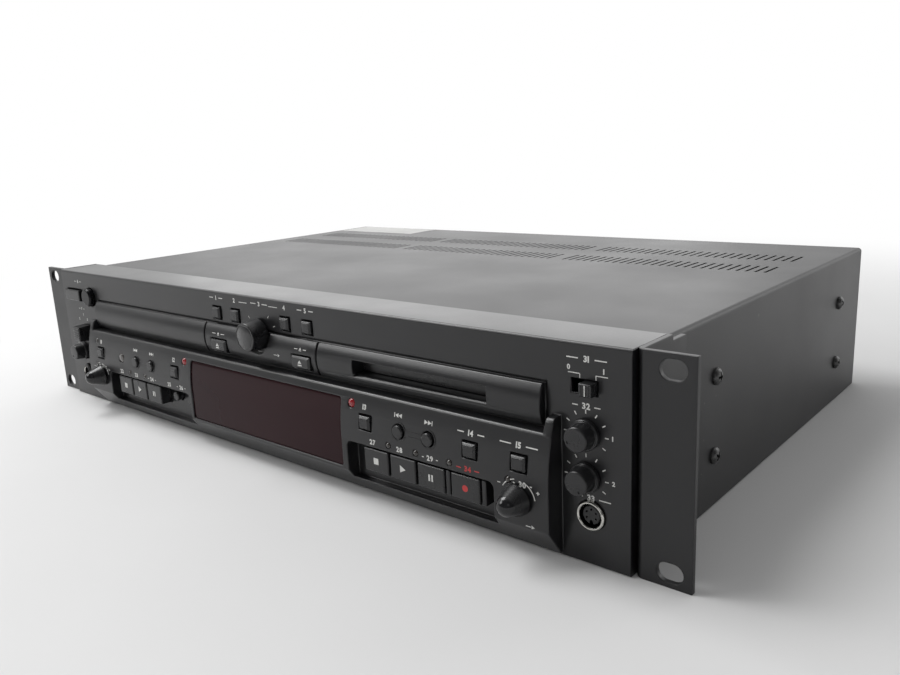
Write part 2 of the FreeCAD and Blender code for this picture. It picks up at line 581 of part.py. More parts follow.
def frontHoles():
    tools = [through("hole_" + label, x, z, f"{wide} + 2 * {room}", f"{high} + 2 * {room}")
             for label, x, z, face, wide, high, back, room, edge in rectKeys]
    tools += [roundThrough("hole_" + label, x, z, f"{radius} + gap")
              for label, x, z, face, radius, back in roundKeys]
    tools += [roundThrough("hole_" + label, x, z, "shaftRadius + gap") for label, x, z in levelKnobs]
    tools += [roundThrough("hole_" + knob[0], knob[2], knob[3], "shaftHole") for knob in pushKnobs]
    tools += [roundThrough("hole_" + lamp, lamp, height, f"{radius} + shaftGap")
              for lamp, height, radius in lamps]
    tools += [
        roundThrough("hole_sensor", "sensorX", "midRowZ", "sensorRadius + shaftGap"),
        roundThrough("hole_phones", "phonesX", "socketZ", "phonesSleeve + shaftGap"),
        roundThrough("hole_keyboard", "keyboardX", "keyboardZ", "keyboardRing + shaftGap"),
        through("hole_power", "powerX", "powerZ", "powerWide + 2 * gap", "powerHigh + 2 * gap"),
        roundThrough("hole_power_cap", "powerDiscX", "powerZ", "powerDiscRadius + gap"),
        through("hole_timer", "timerX", "timerZ", "neckWide + 2 * timerTravel + 2 * gap",
                "neckHigh + 2 * gap"),
        through("hole_play", "playSlotX", "playSlotZ", "playSlotWide", "playSlotHigh"),
        windowHole(),
        windowSeat(),
        block("hole_drawer", ("trayLeft - 2 * gap", "trayRight + 2 * gap"), (farFront, farBack),
              ("trayLow - 2 * gap", "trayLow + trayHigh + 5")),
        block("hole_throat", ("mouthLeft - throatWall - gap", "mouthRight + throatWall + gap"),
              (farFront, farBack), ("mouthLow - throatWall - gap", "mouthTop + throatWall + gap")),
        rod("jog_recess", "jogRecess", f"panelFace - ({farFront})", "jogX", farFront, "jogZ"),
        roundedRecess("disc_key_recess", "discRecessLeft", "discRecessRight"),
        roundedRecess("cart_key_recess", "cartRecessLeft", "cartRecessRight"),
    ]
    return tools + bandGrooves()


def bandGrooves():
    """The groove in the plate over the curved band and down its two ends."""
    left, right, top = "drawerLeft", "bezelRight", "bandTop"
    floor = ("panelFace - 1", "panelFace + grooveDeep")
    outerLeft, outerRight, outerTop = f"{left} - grooveWide", f"{right} + grooveWide", f"{top} + grooveWide"
    return [block("groove_top", (outerLeft, outerRight), floor, (top, outerTop)),
            block("groove_left", (outerLeft, left), floor, ("fasciaTop", outerTop)),
            block("groove_right", (right, outerRight), floor, ("fasciaTop", outerTop))]


def panelProfile():
    """Side profile of the front plate with its top and lower returns and a rounded top edge."""
    return [("panelFace", "panelLow"), ("lowReturn", "panelLow"), ("lowReturn", "panelLow + lowWall"),
            ("panelBack", "panelLow + lowWall"), ("panelBack", "panelTop - returnWall"),
            ("returnBack", "panelTop - returnWall"), ("returnBack", "panelTop"),
            ("panelFace + panelEdge", "panelTop", "panelEdge"), ("panelFace", "panelTop - panelEdge")]


def frontWalls():
    """The walls round the two key recesses, the well of the jog knob and the bosses for the board."""
    tubs = [block("key_tub", (f"{left} - floorThick", f"{right} + floorThick"), ("fasciaFace", "recessBack"),
                  ("fasciaLow + 3", "recessTop + floorThick"))
            for left, right in (("discRecessLeft", "discRecessRight"), ("cartRecessLeft", "cartRecessRight"))]
    envelope = beam("fascia_envelope", "fasciaLeft", "fasciaRight",
                    fasciaProfile("0", "fasciaTop", "panelFace"))
    tubWalls = common("tub_walls", envelope, fuse("tub_blocks", tubs))
    bandEnvelope = beam("band_envelope", "middleLeft", "middleRight", bandProfile("0", "panelBack"))
    well = common("jog_wall", bandEnvelope,
                  rod("jog_post", "jogRecess + floorThick", "30", "jogX", "-29.5", "jogZ"))
    floor = rod("jog_floor", "jogRecess + floorThick", "floorThick", "jogX", "panelFace", "jogZ")
    bosses = [rod("board_boss", "3", "boardFace - panelBack + 0.5", x, "panelBack - 0.5", z)
              for x, z in (("-panelHalf + 8", "82"), ("panelHalf - 8", "82"), ("-panelHalf + 8", "8"),
                           ("panelHalf - 8", "8"), ("-47", "80"), ("62", "80"))]
    return [tubWalls, well, floor] + bosses


def keyRibs():
    """The two fixed ribs that stand on either side of the record key."""
    return [block("key_rib", (f"{x} - ribWide / 2", f"{x} + ribWide / 2"), ("ribFace", "recessFloor + 0.3"),
                  ("keyZ - keyHigh / 2", "keyZ + keyHigh / 2"))
            for x in ("recordX - keyWide / 2 - ribStep", "recordX + keyWide / 2 + ribStep")]


def makeFrontPanel():
    plate = beam("panel_plate", "-panelHalf", "panelHalf", panelProfile())
    spans = [("-panelHalf", "-panelHalf + returnWall"), ("panelHalf - returnWall", "panelHalf")]
    sides = [block("panel_side_return", span, ("panelBack - 0.5", "returnBack"), ("panelLow", "panelTop"))
             for span in spans]
    fascia = beam("fascia_solid", "fasciaLeft", "fasciaRight",
                  fasciaProfile("0", "fasciaTop", "panelFace", "fasciaEdge"))
    hollow = beam("fascia_hollow", "fasciaLeft + fasciaWall", "fasciaRight - fasciaWall",
                  fasciaProfile("fasciaWall", "fasciaTop - fasciaWall", "panelBack + 1"))
    cheeks = [cheek("cheek_left", "fasciaLeft", "fasciaLeft + cheekWide"),
              cheek("cheek_right", "fasciaRight - cheekWide", "fasciaRight")]
    middle = beam("band_middle", "middleLeft", "middleRight", bandProfile("0", "panelFace"))
    middleHollow = beam("band_hollow", "middleLeft + 2", "middleRight - 2", bandProfile("2", "panelBack + 1"))
    solid = fuse("front_solid", [plate, fascia, middle] + sides + cheeks)
    shell = cut("front_shell", solid, [hollow, middleHollow])
    pierced = cut("front_pierced", fuse("front_with_walls", [shell] + frontWalls()), frontHoles())
    return fuse("front_panel", [pierced] + keyRibs())


def makeWindow():
    """The curved window, with a plain back."""
    low, top = "windowLow - windowLap", "(windowTop + windowLap)"
    face = "fasciaFace + windowDeep"
    return beam("display_window", "windowLeft - windowLap", "windowRight + windowLap", [
        ("windowBackLow", low), ("windowBackTop", top),
        (f"{face} + {leanBack('windowDeep', top)}", top, "bulgeRadius - windowDeep"),
        (face, "bulgeStart"), (face, low)])


def makeBezel():
    """The curved bezel with its slot, the chamfered lower lip and the throat behind."""
    bezel = beam("bezel_front", "bezelLeft", "bezelRight", bandProfile("0", "panelFace"))
    throat = block("bezel_throat", ("mouthLeft - throatWall", "mouthRight + throatWall"),
                   ("panelFace - 0.5", "throatBack"), ("mouthLow - throatWall", "mouthTop + throatWall"))
    mouth = block("bezel_mouth", ("mouthLeft", "mouthRight"), (farFront, "throatBack + 1"),
                  ("mouthLow", "mouthTop"))
    lead = beam("bezel_lead", "mouthLeft", "mouthRight", [
        ("bandEdge + 0.2", "mouthLow + 0.1"), ("-9", "mouthLow + 0.1"), ("-9", "mouthLow - chamfer - 0.4"),
        ("bandEdge - 2", "mouthLow - chamfer")])
    swing = block("bezel_swing", ("mouthLeft", "mouthRight"), ("shutterAxisY - 1.2", "throatBack + 1"),
                  ("mouthLow", "shutterAxisZ + 2"))
    pivots = rod("bezel_pivots", "pinRadius + shaftGap", "mouthRight - mouthLeft + 2", "mouthLeft - 1",
                 "shutterAxisY", "shutterAxisZ", "X")
    return cut("md_slot_bezel", fuse("bezel_body", [bezel, throat]), [mouth, lead, swing, pivots])


def makeShutter():
    """The flap behind the slot, on its two pins."""
    flap = block("shutter_flap", ("mouthLeft + gap", "mouthRight - gap"),
                 ("shutterAxisY - shutterThick / 2", "shutterAxisY + shutterThick / 2"),
                 ("shutterAxisZ - shutterLong", "shutterAxisZ"))
    barrel = rod("shutter_barrel", "0.9", "mouthRight - mouthLeft - 2 * gap", "mouthLeft + gap",
                 "shutterAxisY", "shutterAxisZ", "X")
    pins = rod("shutter_pins", "pinRadius", "mouthRight - mouthLeft + 1.6", "mouthLeft - 0.8",
               "shutterAxisY", "shutterAxisZ", "X")
    return fuse("md_shutter", [flap, barrel, pins])


def makeDrawerFront():
    return beam("cd_tray_front", "drawerLeft", "drawerRight", bandProfile("0", "panelFace - gap"))


def makeLamps():
    """Lamp lenses and the receiver window, each a plug in its own hole."""
    face = {"lampLow": "fasciaFace - 0.5", "lampHigh": "fasciaFace + 1.2"}
    lenses = [prism("lens_" + lamp, radius, "lampLong", lamp, face[height], height)
              for lamp, height, radius in lamps]
    sensor = rod("lens_sensor", "sensorRadius", "lampLong", "sensorX", "fasciaFace + 0.2", "midRowZ")
    return group("panel_lamps", lenses + [sensor])


# ---- sheet metal ------------------------------------------------------------------------------------

def makeEar(label, side):
    """A rack ear: a steel angle with a rolled inner corner, a side flange and two slots."""
    inner, outer = f"{side} * coverHalf", f"{side} * earOut"
    body = newBody(label)
    sketch = newSketch(body, "XY_Plane")
    innerFace = f"{inner} + {side} * earThick"
    foot = [(outer, "earThick"), (innerFace, "earThick"), (innerFace, "earFlange"), (inner, "earFlange")]
    corner = [(inner, "earBend"), (f"{inner} + {side} * earBend", "0")]
    if side < 0:
        path = [(outer, "0"), (*corner[1], "earBend"), corner[0]] + foot[::-1]
    else:
        path = [(outer, "0")] + foot + [(*corner[0], "earBend"), corner[1]]
    outline(sketch, path)
    extrude(body, sketch, "earHigh")
    slots = newSketch(body, "XZ_Plane", "1")
    for z in ("slotLow", "slotLow + slotSpanZ"):
        half, round_ = "(slotLong - slotWide) / 2", "slotWide / 2"
        x = f"{side} * slotSpanX / 2"
        outline(slots, [(f"{x} - {half}", f"{z} - {round_}"), (f"{x} + {half}", f"{z} - {round_}", round_),
                        (f"{x} + {half}", f"{z} + {round_}"), (f"{x} - {half}", f"{z} + {round_}", round_)])
    extrude(body, slots, "earThick + 2", "PartDesign::Pocket")
    holes = newSketch(body, "YZ_Plane", f"{inner} - 5")
    for z in ("earScrewLowZ", "earScrewHighZ"):
        ring(holes, "screwHole", "earScrewY", z)
    extrude(body, holes, "10", "PartDesign::Pocket", backwards=True)
    drop = newSketch(body, "YZ_Plane", f"{inner} - 5")
    outline(drop, [("flangeStep", "earHigh - flangeDrop"), ("earFlange + 1", "earHigh - flangeDrop"),
                   ("earFlange + 1", "earHigh + 1"), ("flangeStep", "earHigh + 1")])
    extrude(body, drop, "10", "PartDesign::Pocket", backwards=True)
    return body


def makeCover():
    """The folded top cover with its six fields of vent slits."""
    body = newBody("cover_fold", "0", "coverFront")
    sketch = newSketch(body, "XZ_Plane")
    wall, inner = "coverThick", "(coverBend - coverThick)"
    outline(sketch, [
        ("-coverHalf", "coverLow"), (f"-coverHalf + {wall}", "coverLow"),
        (f"-coverHalf + {wall}", "deckTop - coverBend"),
        (f"-coverHalf + coverBend", f"deckTop - {wall}"), (f"coverHalf - coverBend", f"deckTop - {wall}"),
        (f"coverHalf - {wall}", "deckTop - coverBend"), (f"coverHalf - {wall}", "coverLow"),
        ("coverHalf", "coverLow"), ("coverHalf", "deckTop - coverBend", "coverBend"),
        ("coverHalf - coverBend", "deckTop"), ("-coverHalf + coverBend", "deckTop", "coverBend"),
        ("-coverHalf", "deckTop - coverBend")])
    extrude(body, sketch, "coverBack - coverFront", backwards=True)
    doc.recompute()
    for column in (-1, 0, 1):
        for row in (0, 1):
            slit = newSketch(body, "XY_Plane", "deckTop + 1")
            first = f"{column} * ventGroup - (slitCount - 1) * slitPitch / 2"
            rectangle(slit, "slitWide", "slitLong", first,
                      f"ventFront - coverFront + slitLong / 2 + {row} * ventStep")
            pocket = extrude(body, slit, "coverThick + 2", "PartDesign::Pocket")
            pattern = body.newObject("PartDesign::LinearPattern", "slit_row")
            pattern.Originals = [pocket]
            pattern.Direction = (slit, ["H_Axis"])
            bind(pattern, "Length", "(slitCount - 1) * slitPitch")
            bind(pattern, "Occurrences", "slitCount")
            body.Tip = pattern
    holes = [prism("cover_hole", "screwHole", "2 * coverHalf + 10", "-coverHalf - 5", y, z, "X")
             for y, z in coverScrewSpots + earScrewSpots]
    return cut("top_cover", body, holes)


coverScrewSpots = [(y, z) for y in ("screwFrontY", "screwBackY") for z in ("screwLowZ", "screwHighZ")]
earScrewSpots = [("earScrewY", z) for z in ("earScrewLowZ", "earScrewHighZ")]


def wallSpans(outer):
    """Where the left and the right sheet wall lie when their outer faces are `outer` from the middle."""
    return [(f"-({outer})", f"-({outer}) + sheetThick"), (f"{outer} - sheetThick", outer)]


def makeChassis():
    """The folded chassis: a floor with two side walls, a narrower nose and posts for what stands on it."""
    outer = "coverHalf - coverThick - 0.1"
    floor = block("chassis_floor", (f"-({outer})", outer), ("coverFront + 0.4", "deckBack - sheetThick"),
                  ("0", "sheetThick"))
    nose = block("chassis_nose", ("-panelHalf + returnWall + 0.6", "panelHalf - returnWall - 0.6"),
                 ("9", "coverFront + 1"), ("0", "sheetThick"))
    walls = [block("chassis_wall", span, ("coverFront + 0.4", "deckBack - sheetThick - backFlange - 1"),
                   ("0", "80"))
             for span in wallSpans(outer)]
    posts = [block("chassis_lug", (f"{x} - lugWide / 2", f"{x} + lugWide / 2"),
                   (f"{y} - sheetThick", f"{y} + sheetThick"), ("0.6", top)) for x, y, top in postSpots]
    holes = [prism("chassis_hole", "screwRadius + 0.05", "2 * coverHalf + 10", "-coverHalf - 5", y, z, "X")
             for y, z in coverScrewSpots + earScrewSpots]
    return cut("chassis_base", fuse("chassis_body", [floor, nose] + walls + posts), holes)


postSpots = [(x, y, "mainLow") for x in ("mainLeft + 8", "mainRight - 8")
             for y in ("mainFront + 8", "mainBack - 8")]


def makeScrews():
    """Pan-head screws: four in each side of the cover and two in each ear."""
    screws = []
    for side in (-1, 1):
        for spots, face in ((coverScrewSpots, "coverHalf"), (earScrewSpots, "coverHalf + earThick")):
            for y, z in spots:
                outside = face if side > 0 else f"-({face} + screwHeadHigh)"
                inside = f"{face} - screwLong" if side > 0 else f"-({face}) - 0.5"
                head = prism("screw_head", "screwHead", "screwHeadHigh", outside, y, z, "X")
                shank = prism("screw_shank", "screwRadius", "screwLong + 0.5", inside, y, z, "X")
                screws.append(fuse("screw", [head, shank]))
    return group("case_screws", screws)


# ---- disc drawer ------------------------------------------------------------------------------------

def toothProfile(base, tip, halfBase, halfTip):
    """A straight-sided tooth that points along +X."""
    return [(base, f"-({halfBase})"), (tip, f"-({halfTip})"), (tip, halfTip), (base, halfBase)]


def makeTray():
    """The drawer: two stepped seats for a disc, a slot for the hub and a rack cut in its right edge."""
    top = "trayLow + trayHigh"
    pitch = "(3.14159265 * gearModule)"
    plate = block("tray_plate", ("trayLeft", "trayRight"), ("panelFace - gap", "trayBack"), ("trayLow", top))
    seats = [rod("tray_seat", "discRadius", "discRecess + 1", "discX", "discY", f"{top} - discRecess", "Z"),
             rod("tray_small_seat", "smallDiscRadius", "discRecess + 2", "discX", "discY",
                 f"{top} - discRecess - 1", "Z"),
             block("tray_slot", ("discX - laserHalf", "discX + laserHalf"),
                   ("discY - laserHalf", "trayBack + 1"), ("trayLow - 1", f"{top} + 1")),
             block("rack_channel", ("rackX - toothIn", "trayRight + 1"),
                   (f"gearY - 4 * {pitch}", "trayBack + 1"), ("trayLow - 1", "trayLow + rackHigh"))]
    rack = newBody("tray_rack", "rackX", f"gearY - 3.5 * {pitch}", "trayLow")
    spine = newSketch(rack, "XY_Plane")
    last = f"(rackTeeth - 0.5) * {pitch}"
    outline(spine, [("-toothIn - 0.6", f"-{pitch} / 2"), ("-toothIn", f"-{pitch} / 2"), ("-toothIn", last),
                    ("-toothIn - 0.6", last)])
    extrude(rack, spine, "rackHigh + 0.4")
    tooth = newSketch(rack, "XY_Plane")
    outline(tooth, toothProfile("-toothIn - 0.3", "toothOut", "toothHalfRoot", "toothHalfTip"))
    first = extrude(rack, tooth, "rackHigh + 0.4")
    doc.recompute()
    pattern = rack.newObject("PartDesign::LinearPattern", "rack_teeth")
    pattern.Originals = [first]
    pattern.Direction = (tooth, ["V_Axis"])
    bind(pattern, "Length", f"(rackTeeth - 1) * {pitch}")
    bind(pattern, "Occurrences", "rackTeeth")
    rack.Tip = pattern
    return fuse("cd_tray", [cut("tray_body", plate, seats), rack])


def makeGear():
    """The spur gear that drives the rack."""
    pitchRadius = "(gearModule * gearTeeth / 2)"
    body = newBody("tray_drive_gear", f"rackX + {pitchRadius}", "gearY", "trayLow + gap")
    disc = newSketch(body, "XY_Plane")
    ring(disc, f"{pitchRadius} - toothIn")
    extrude(body, disc, "gearThick")
    tooth = newSketch(body, "XY_Plane")
    outline(tooth, toothProfile(f"{pitchRadius} - toothIn - 0.4", f"{pitchRadius} + toothOut",
                                "toothHalfRoot", "toothHalfTip"))
    first = extrude(body, tooth, "gearThick")
    doc.recompute()
    pattern = body.newObject("PartDesign::PolarPattern", "gear_teeth")
    pattern.Originals = [first]
    pattern.Axis = (tooth, ["N_Axis"])
    pattern.Angle = 360
    bind(pattern, "Occurrences", "gearTeeth")
    body.Tip = pattern
    doc.recompute()
    bore = newSketch(body, "XY_Plane", "gearThick + 1")
    ring(bore, "gearBore")
    body.Tip = extrude(body, bore, "gearThick + 2", "PartDesign::Pocket")
    return body


def standLegs(label, columns, rows, top):
    """Four plate legs that stand on the chassis floor and run into what they carry."""
    return [block(label, (x, f"{x} + legThick"), (y, f"{y} + legLong"), ("sheetThick", f"{top} + 0.5"))
            for x in columns for y in rows]


def makeLoader():
    """The loader frame: a floor, two rails that carry the drawer, a bridge and the gear's post."""
    floorTop = "loaderFloor + loaderWall"
    floor = block("loader_floor", ("loaderLeft", "loaderRight"), ("loaderFront", "loaderBack"),
                  ("loaderFloor", floorTop))
    rails = [block("loader_rail", (low, high), ("loaderFront", "loaderBack"), ("loaderFloor", "loaderTop"))
             for low, high in (("loaderLeft", "trayLeft - gap"), ("trayRight + gap", "loaderRight"))]
    shelves = [block("loader_shelf", (low, high), ("loaderFront", "loaderBack"),
                     ("loaderFloor", "trayLow - gap"))
               for low, high in (("loaderLeft", "trayLeft + 3"), ("trayRight - 2.5", "loaderRight"))]
    bridge = block("loader_bridge", ("loaderLeft", "loaderRight"), ("discY - 16", "discY + 16"),
                   ("loaderTop - 0.5", "loaderTop + 3"))
    clamp = rod("loader_clamp", "15", "3", "discX", "discY", "loaderTop + 2.5", "Z")
    gearX = "rackX + gearModule * gearTeeth / 2"
    bracket = block("gear_bracket", ("loaderRight - 1", f"{gearX} + 8"), ("gearY - 12", "gearY + 12"),
                    ("trayLow - 3", "trayLow"))
    post = rod("gear_post", "gearBore - shaftGap", "gearThick + gap + 2.5", gearX, "gearY",
               "trayLow - 1", "Z")
    gearGap = rod("gear_gap", "gearModule * gearTeeth / 2 + 2.2", "gearThick + 2 * gap", gearX, "gearY",
                  "trayLow", "Z")
    motor = rod("spindle_motor", "motorRadius", "6", "discX", "discY", floorTop, "Z")
    shaft = rod("spindle_shaft", "spindleRadius", "10", "discX", "discY", f"{floorTop} + 6", "Z")
    legs = standLegs("loader_leg", ("loaderLeft", "loaderRight - legThick"),
                     ("loaderFront", "loaderBack - legLong"), "loaderFloor")
    window = block("loader_window", ("discX - 12", "discX + 12"), ("discY + 18", "loaderBack - 20"),
                   ("loaderFloor - 1", f"{floorTop} + 1"))
    solid = fuse("loader_body", [floor, bridge, clamp, bracket, motor, shaft] + rails + shelves + legs)
    frame = cut("loader_open", solid, [window, gearGap])
    return fuse("cd_loader_frame", [frame, post])


def makeTurntable():
    """The hub that turns the disc, on the motor's shaft."""
    base = "loaderFloor + loaderWall + 6.6"
    body = newBody("cd_turntable", "discX", "discY", base)
    sketch = newSketch(body, "XZ_Plane")
    bore = "spindleRadius + shaftGap"
    outline(sketch, [
        (bore, "0"), ("hubNeck", "0"), ("hubNeck", "hubNeckHigh"), ("hubRadius", "hubNeckHigh"),
        ("hubRadius", "hubPlateTop"), ("coneBase", "hubPlateTop"), ("coneTop", "hubHigh"), (bore, "hubHigh")])
    revolve(body, sketch)
    return body


# ---- cartridge mechanism, boards, supply and back panel ---------------------------------------------

def makeCartMechanism():
    """The cartridge mechanism: a box with the tunnel that the cartridge slides into."""
    box = block("cart_box", ("cartLeft", "cartRight"), ("cartFront", "cartBack"), ("cartFloor", "cartTop"))
    tunnel = block("cart_tunnel", ("tunnelLeft", "tunnelRight"), ("cartFront - 1", "cartFront + tunnelDeep"),
                   ("tunnelLow", "tunnelTop"))
    under = block("cart_under", ("cartLeft + 3", "cartRight - 3"), ("cartFront + 3", "cartBack - 3"),
                  ("cartFloor - 1", "tunnelLow - 3"))
    window = block("cart_window", ("tunnelLeft + 12", "tunnelRight - 12"),
                   ("cartFront + 20", "cartFront + 80"), ("tunnelTop + 2.5", "cartTop + 1"))
    legs = standLegs("cart_leg", ("cartLeft", "cartRight - legThick"), ("cartFront", "cartBack - legLong"),
                     "cartFloor")
    return fuse("md_mechanism", [cut("cart_open", box, [tunnel, under, window])] + legs)


def makeMainBoard():
    """The main board with its larger parts."""
    top = "mainLow + boardThick"
    board = block("main_plate", ("mainLeft", "mainRight"), ("mainFront", "mainBack"), ("mainLow", top))
    chips = [block("main_chip", (f"{x} - chipHalf", f"{x} + chipHalf"),
                   (f"{y} - chipHalf", f"{y} + chipHalf"), (f"{top} - 0.1", f"{top} + chipHigh"))
             for x, y in ((5, 190), (60, 180), (60, 225), (120, 195))]
    cans = [prism("main_can", "canRadius", "canHigh", str(x), str(y), f"{top} - 0.1", "Z")
            for x, y in ((-12, 240), (2, 240), (150, 240), (165, 240), (150, 225), (165, 225))]
    sink = block("heat_sink", ("-20", "30"), ("255", "262"), (f"{top} - 0.1", f"{top} + 24"))
    return fuse("main_board", [board, sink] + chips + cans)


def makeTransformer():
    """The mains transformer: a laminated core with a winding on its middle limb."""
    core = block("core_stack", ("coreLeft", "coreRight"), ("coreFront + 12", "coreBack - 12"),
                 ("coreLow - 0.8", "coreLow + coreHigh"))
    winding = block("core_winding", ("coreLeft + 12", "coreRight - 12"), ("coreFront", "coreBack"),
                    ("coreLow + 10", "coreLow + coreHigh - 10"))
    return fuse("power_transformer", [core, winding])


def makeFrontBoard():
    """The board behind the front: two windows, a switch behind each key, pots, encoders and the tube."""
    back = "boardFace + boardThick"
    plate = block("front_plate", ("-panelHalf + 4", "panelHalf - 4"), ("boardFace", back), ("6", "84"))
    windows = [block("drawer_window", ("trayLeft - 3", "trayRight + 3"), ("boardFace - 1", f"{back} + 1"),
                     ("trayLow - 6.5", "85")),
               block("cart_window", ("mouthLeft - 5", "mouthRight + 5"), ("boardFace - 8", f"{back} + 1"),
                     ("mouthLow - 4", "85"))]
    spots = [(key[1], key[2]) for key in rectKeys + roundKeys] + [("powerX", "powerZ")]
    sunk = "boardFace + 0.2"
    switches = [through("switch_body", x, z, "switchWide", "switchWide", "boardFace - switchDeep", sunk)
                for x, z in spots]
    sliders = [through("slider_body", x, z, "12", "7", "boardFace - switchDeep", sunk)
               for x, z in (("timerX", "timerZ"), ("playSlotX", "playSlotZ"))]
    pots = [through("pot_body", x, z, "10", "10", "boardFace - 6", sunk) for label, x, z in levelKnobs]
    encoders = [through("encoder_body", knob[2], knob[3], "12", "12", "boardFace - 7.5", sunk)
                for knob in pushKnobs]
    tube = block("display_tube", ("windowLeft + 4", "windowRight - 4"), ("tubeFace", sunk),
                 ("windowLow + 2", "windowTop - 4"))
    potBores = [rod("pot_bore", "shaftRadius + shaftGap", "7", x, "boardFace - 6.5", z)
                for label, x, z in levelKnobs]
    encoderBores = [rod("encoder_bore", "sleeveRadius + shaftGap", "8", knob[2], "boardFace - 8.3", knob[3])
                    for knob in pushKnobs]
    socketWindows = [through("socket_window", x, z, "19", "16", "boardFace - 1", f"{back} + 1")
                     for x, z in (("phonesX", "socketZ"), ("keyboardX", "keyboardZ"))]
    return cut("front_board", fuse("front_board_body", [plate, tube] + switches + sliders + pots + encoders),
               windows + potBores + encoderBores + socketWindows)


def makePhonesJack():
    """The headphone socket: a threaded sleeve with its nut, on a moulded body."""
    sleeve = rod("phones_sleeve", "phonesSleeve", "panelBack + 2 - phonesNose", "phonesX", "phonesNose",
                 "socketZ")
    nut = rod("phones_nut", "phonesNut", "1.8", "phonesX", "panelFace - 1.8", "socketZ")
    body = through("phones_body", "phonesX", "socketZ", "16", "14", "panelBack", "phonesDeep + 3")
    bore = rod("phones_bore", "phonesBore", "phonesDeep - phonesNose + 1", "phonesX", "phonesNose - 1",
               "socketZ")
    return cut("phones_jack", fuse("phones_solid", [sleeve, nut, body]), [bore])


def makeKeyboardJack():
    """The keyboard socket: a metal shell round a core, on a moulded body."""
    depth = "keyboardDeep - keyboardNose"
    shell = rod("keyboard_shell", "keyboardRing", depth, "keyboardX", "keyboardNose", "keyboardZ")
    body = through("keyboard_body", "keyboardX", "keyboardZ", "14", "13", "panelBack", "keyboardDeep + 2")
    well = rod("keyboard_well", "keyboardWell", "7", "keyboardX", "keyboardNose - 1", "keyboardZ")
    core = rod("keyboard_core", "keyboardCore", "6", "keyboardX", "keyboardNose + 1.2", "keyboardZ")
    return fuse("keyboard_jack", [cut("keyboard_solid", fuse("keyboard_outer", [shell, body]), [well]), core])


phonoSpots = [(f"phonoX + {column} * phonoStep + {gapAfter}", z)
              for column, gapAfter in ((0, 0), (2, 8), (4, 16)) for z in ("phonoLowZ", "phonoHighZ")]
opticalSpots = ["opticalX", "opticalX - 16"]


def makeBackPanel():
    """The back panel: a plate with three flanges and a hole for each socket."""
    outer = "coverHalf - coverThick - 0.1"
    front = "deckBack - sheetThick"
    plate = block("back_plate", (f"-({outer})", outer), (front, "deckBack"),
                  ("backPanelLow - 1.4", "backPanelTop"))
    flanges = [block("back_flange", span, (f"{front} - backFlange", "deckBack"),
                     ("backPanelLow", "backPanelTop - coverBend"))
               for span in wallSpans(outer)]
    flanges.append(block("back_top_flange", (f"-({outer} - coverBend)", f"{outer} - coverBend"),
                         (f"{front} - backFlange", "deckBack"),
                         ("backPanelTop - sheetThick", "backPanelTop")))
    deep = ("deckBack - 5", "deckBack + 5")
    holes = [rod("phono_hole", "phonoRadius + gap", "10", x, "deckBack - 5", z) for x, z in phonoSpots]
    holes += [through("optical_hole", x, "phonoLowZ", "10.4", "10.4", *deep) for x in opticalSpots]
    holes += [through("control_hole", "controlX", "controlZ", "controlWide - 12", "controlHigh - 2", *deep),
              through("inlet_hole", "inletX", "inletZ", "inletWide + 2 * gap", "inletHigh + 2 * gap", *deep)]
    return cut("rear_panel", fuse("back_body", [plate] + flanges), holes)


def makeRearJacks():
    """The sockets on the back: phono pairs, two optical ports and the control connector."""
    solids = []
    for x, z in phonoSpots:
        barrel = rod("phono_barrel", "phonoRadius", "phonoLong + sheetThick + 0.5", x,
                     "deckBack - sheetThick - 0.5", z)
        base = through("phono_block", x, z, "12", "13", "deckBack - sheetThick - jackBlockDeep",
                       "deckBack - sheetThick")
        bore = rod("phono_bore", "phonoBore", "phonoLong + 5", x, "deckBack - 4", z)
        solids.append(cut("phono_socket", fuse("phono_solid", [barrel, base]), [bore]))
    for x in opticalSpots:
        port = through("optical_port", x, "phonoLowZ", "10", "10", "deckBack - 14", "deckBack + 1.2")
        well = through("optical_well", x, "phonoLowZ", "6", "6", "deckBack - 2", "deckBack + 3")
        solids.append(cut("optical_socket", port, [well]))
    shell = through("control_shell", "controlX", "controlZ", "controlWide - 13", "controlHigh - 3",
                    "deckBack - 8", "deckBack + 5.4")
    flange = through("control_flange", "controlX", "controlZ", "controlWide", "controlHigh",
                     "deckBack", "deckBack + 1")
    solids.append(fuse("control_socket", [shell, flange]))
    return group("rear_jacks", solids)


def makeInlet():
    """The mains inlet: a flanged body with its well and three blades."""
    front = "deckBack - inletDeep"
    body = through("inlet_body", "inletX", "inletZ", "inletWide", "inletHigh", front, "deckBack + 2.4")
    flange = through("inlet_flange", "inletX", "inletZ", "flangeWide", "flangeHigh",
                     "deckBack", "deckBack + 2.4")
    well = through("inlet_well", "inletX", "inletZ", "socketWide", "socketHigh",
                   f"{front} + 4", "deckBack + 4")
    blades = [through("inlet_blade", x, z, "2", "4", f"{front} + 3", "deckBack - 6")
              for x, z in (("inletX - 7", "inletZ - 2"), ("inletX + 7", "inletZ - 2"),
                           ("inletX", "inletZ + 2"))]
    return fuse("ac_inlet", [cut("inlet_shell", fuse("inlet_solid", [body, flange]), [well])] + blades)


nodes = [key[0] for key in rectKeys + roundKeys] + [knob[0] for knob in levelKnobs]
nodes += [name for knob in pushKnobs for name in knob[:2]]
nodes += ["power_button", "timer_switch_knob", "cont_play_slider", "front_panel", "display_window",
          "md_slot_bezel", "md_shutter", "cd_tray_front", "panel_lamps", "rack_ear_left", "rack_ear_right",
          "top_cover", "chassis_base", "case_screws", "cd_tray", "tray_drive_gear", "cd_loader_frame",
          "cd_turntable", "md_mechanism", "main_board", "power_transformer", "front_board", "phones_jack",
          "keyboard_jack", "rear_panel", "rear_jacks", "ac_inlet"]


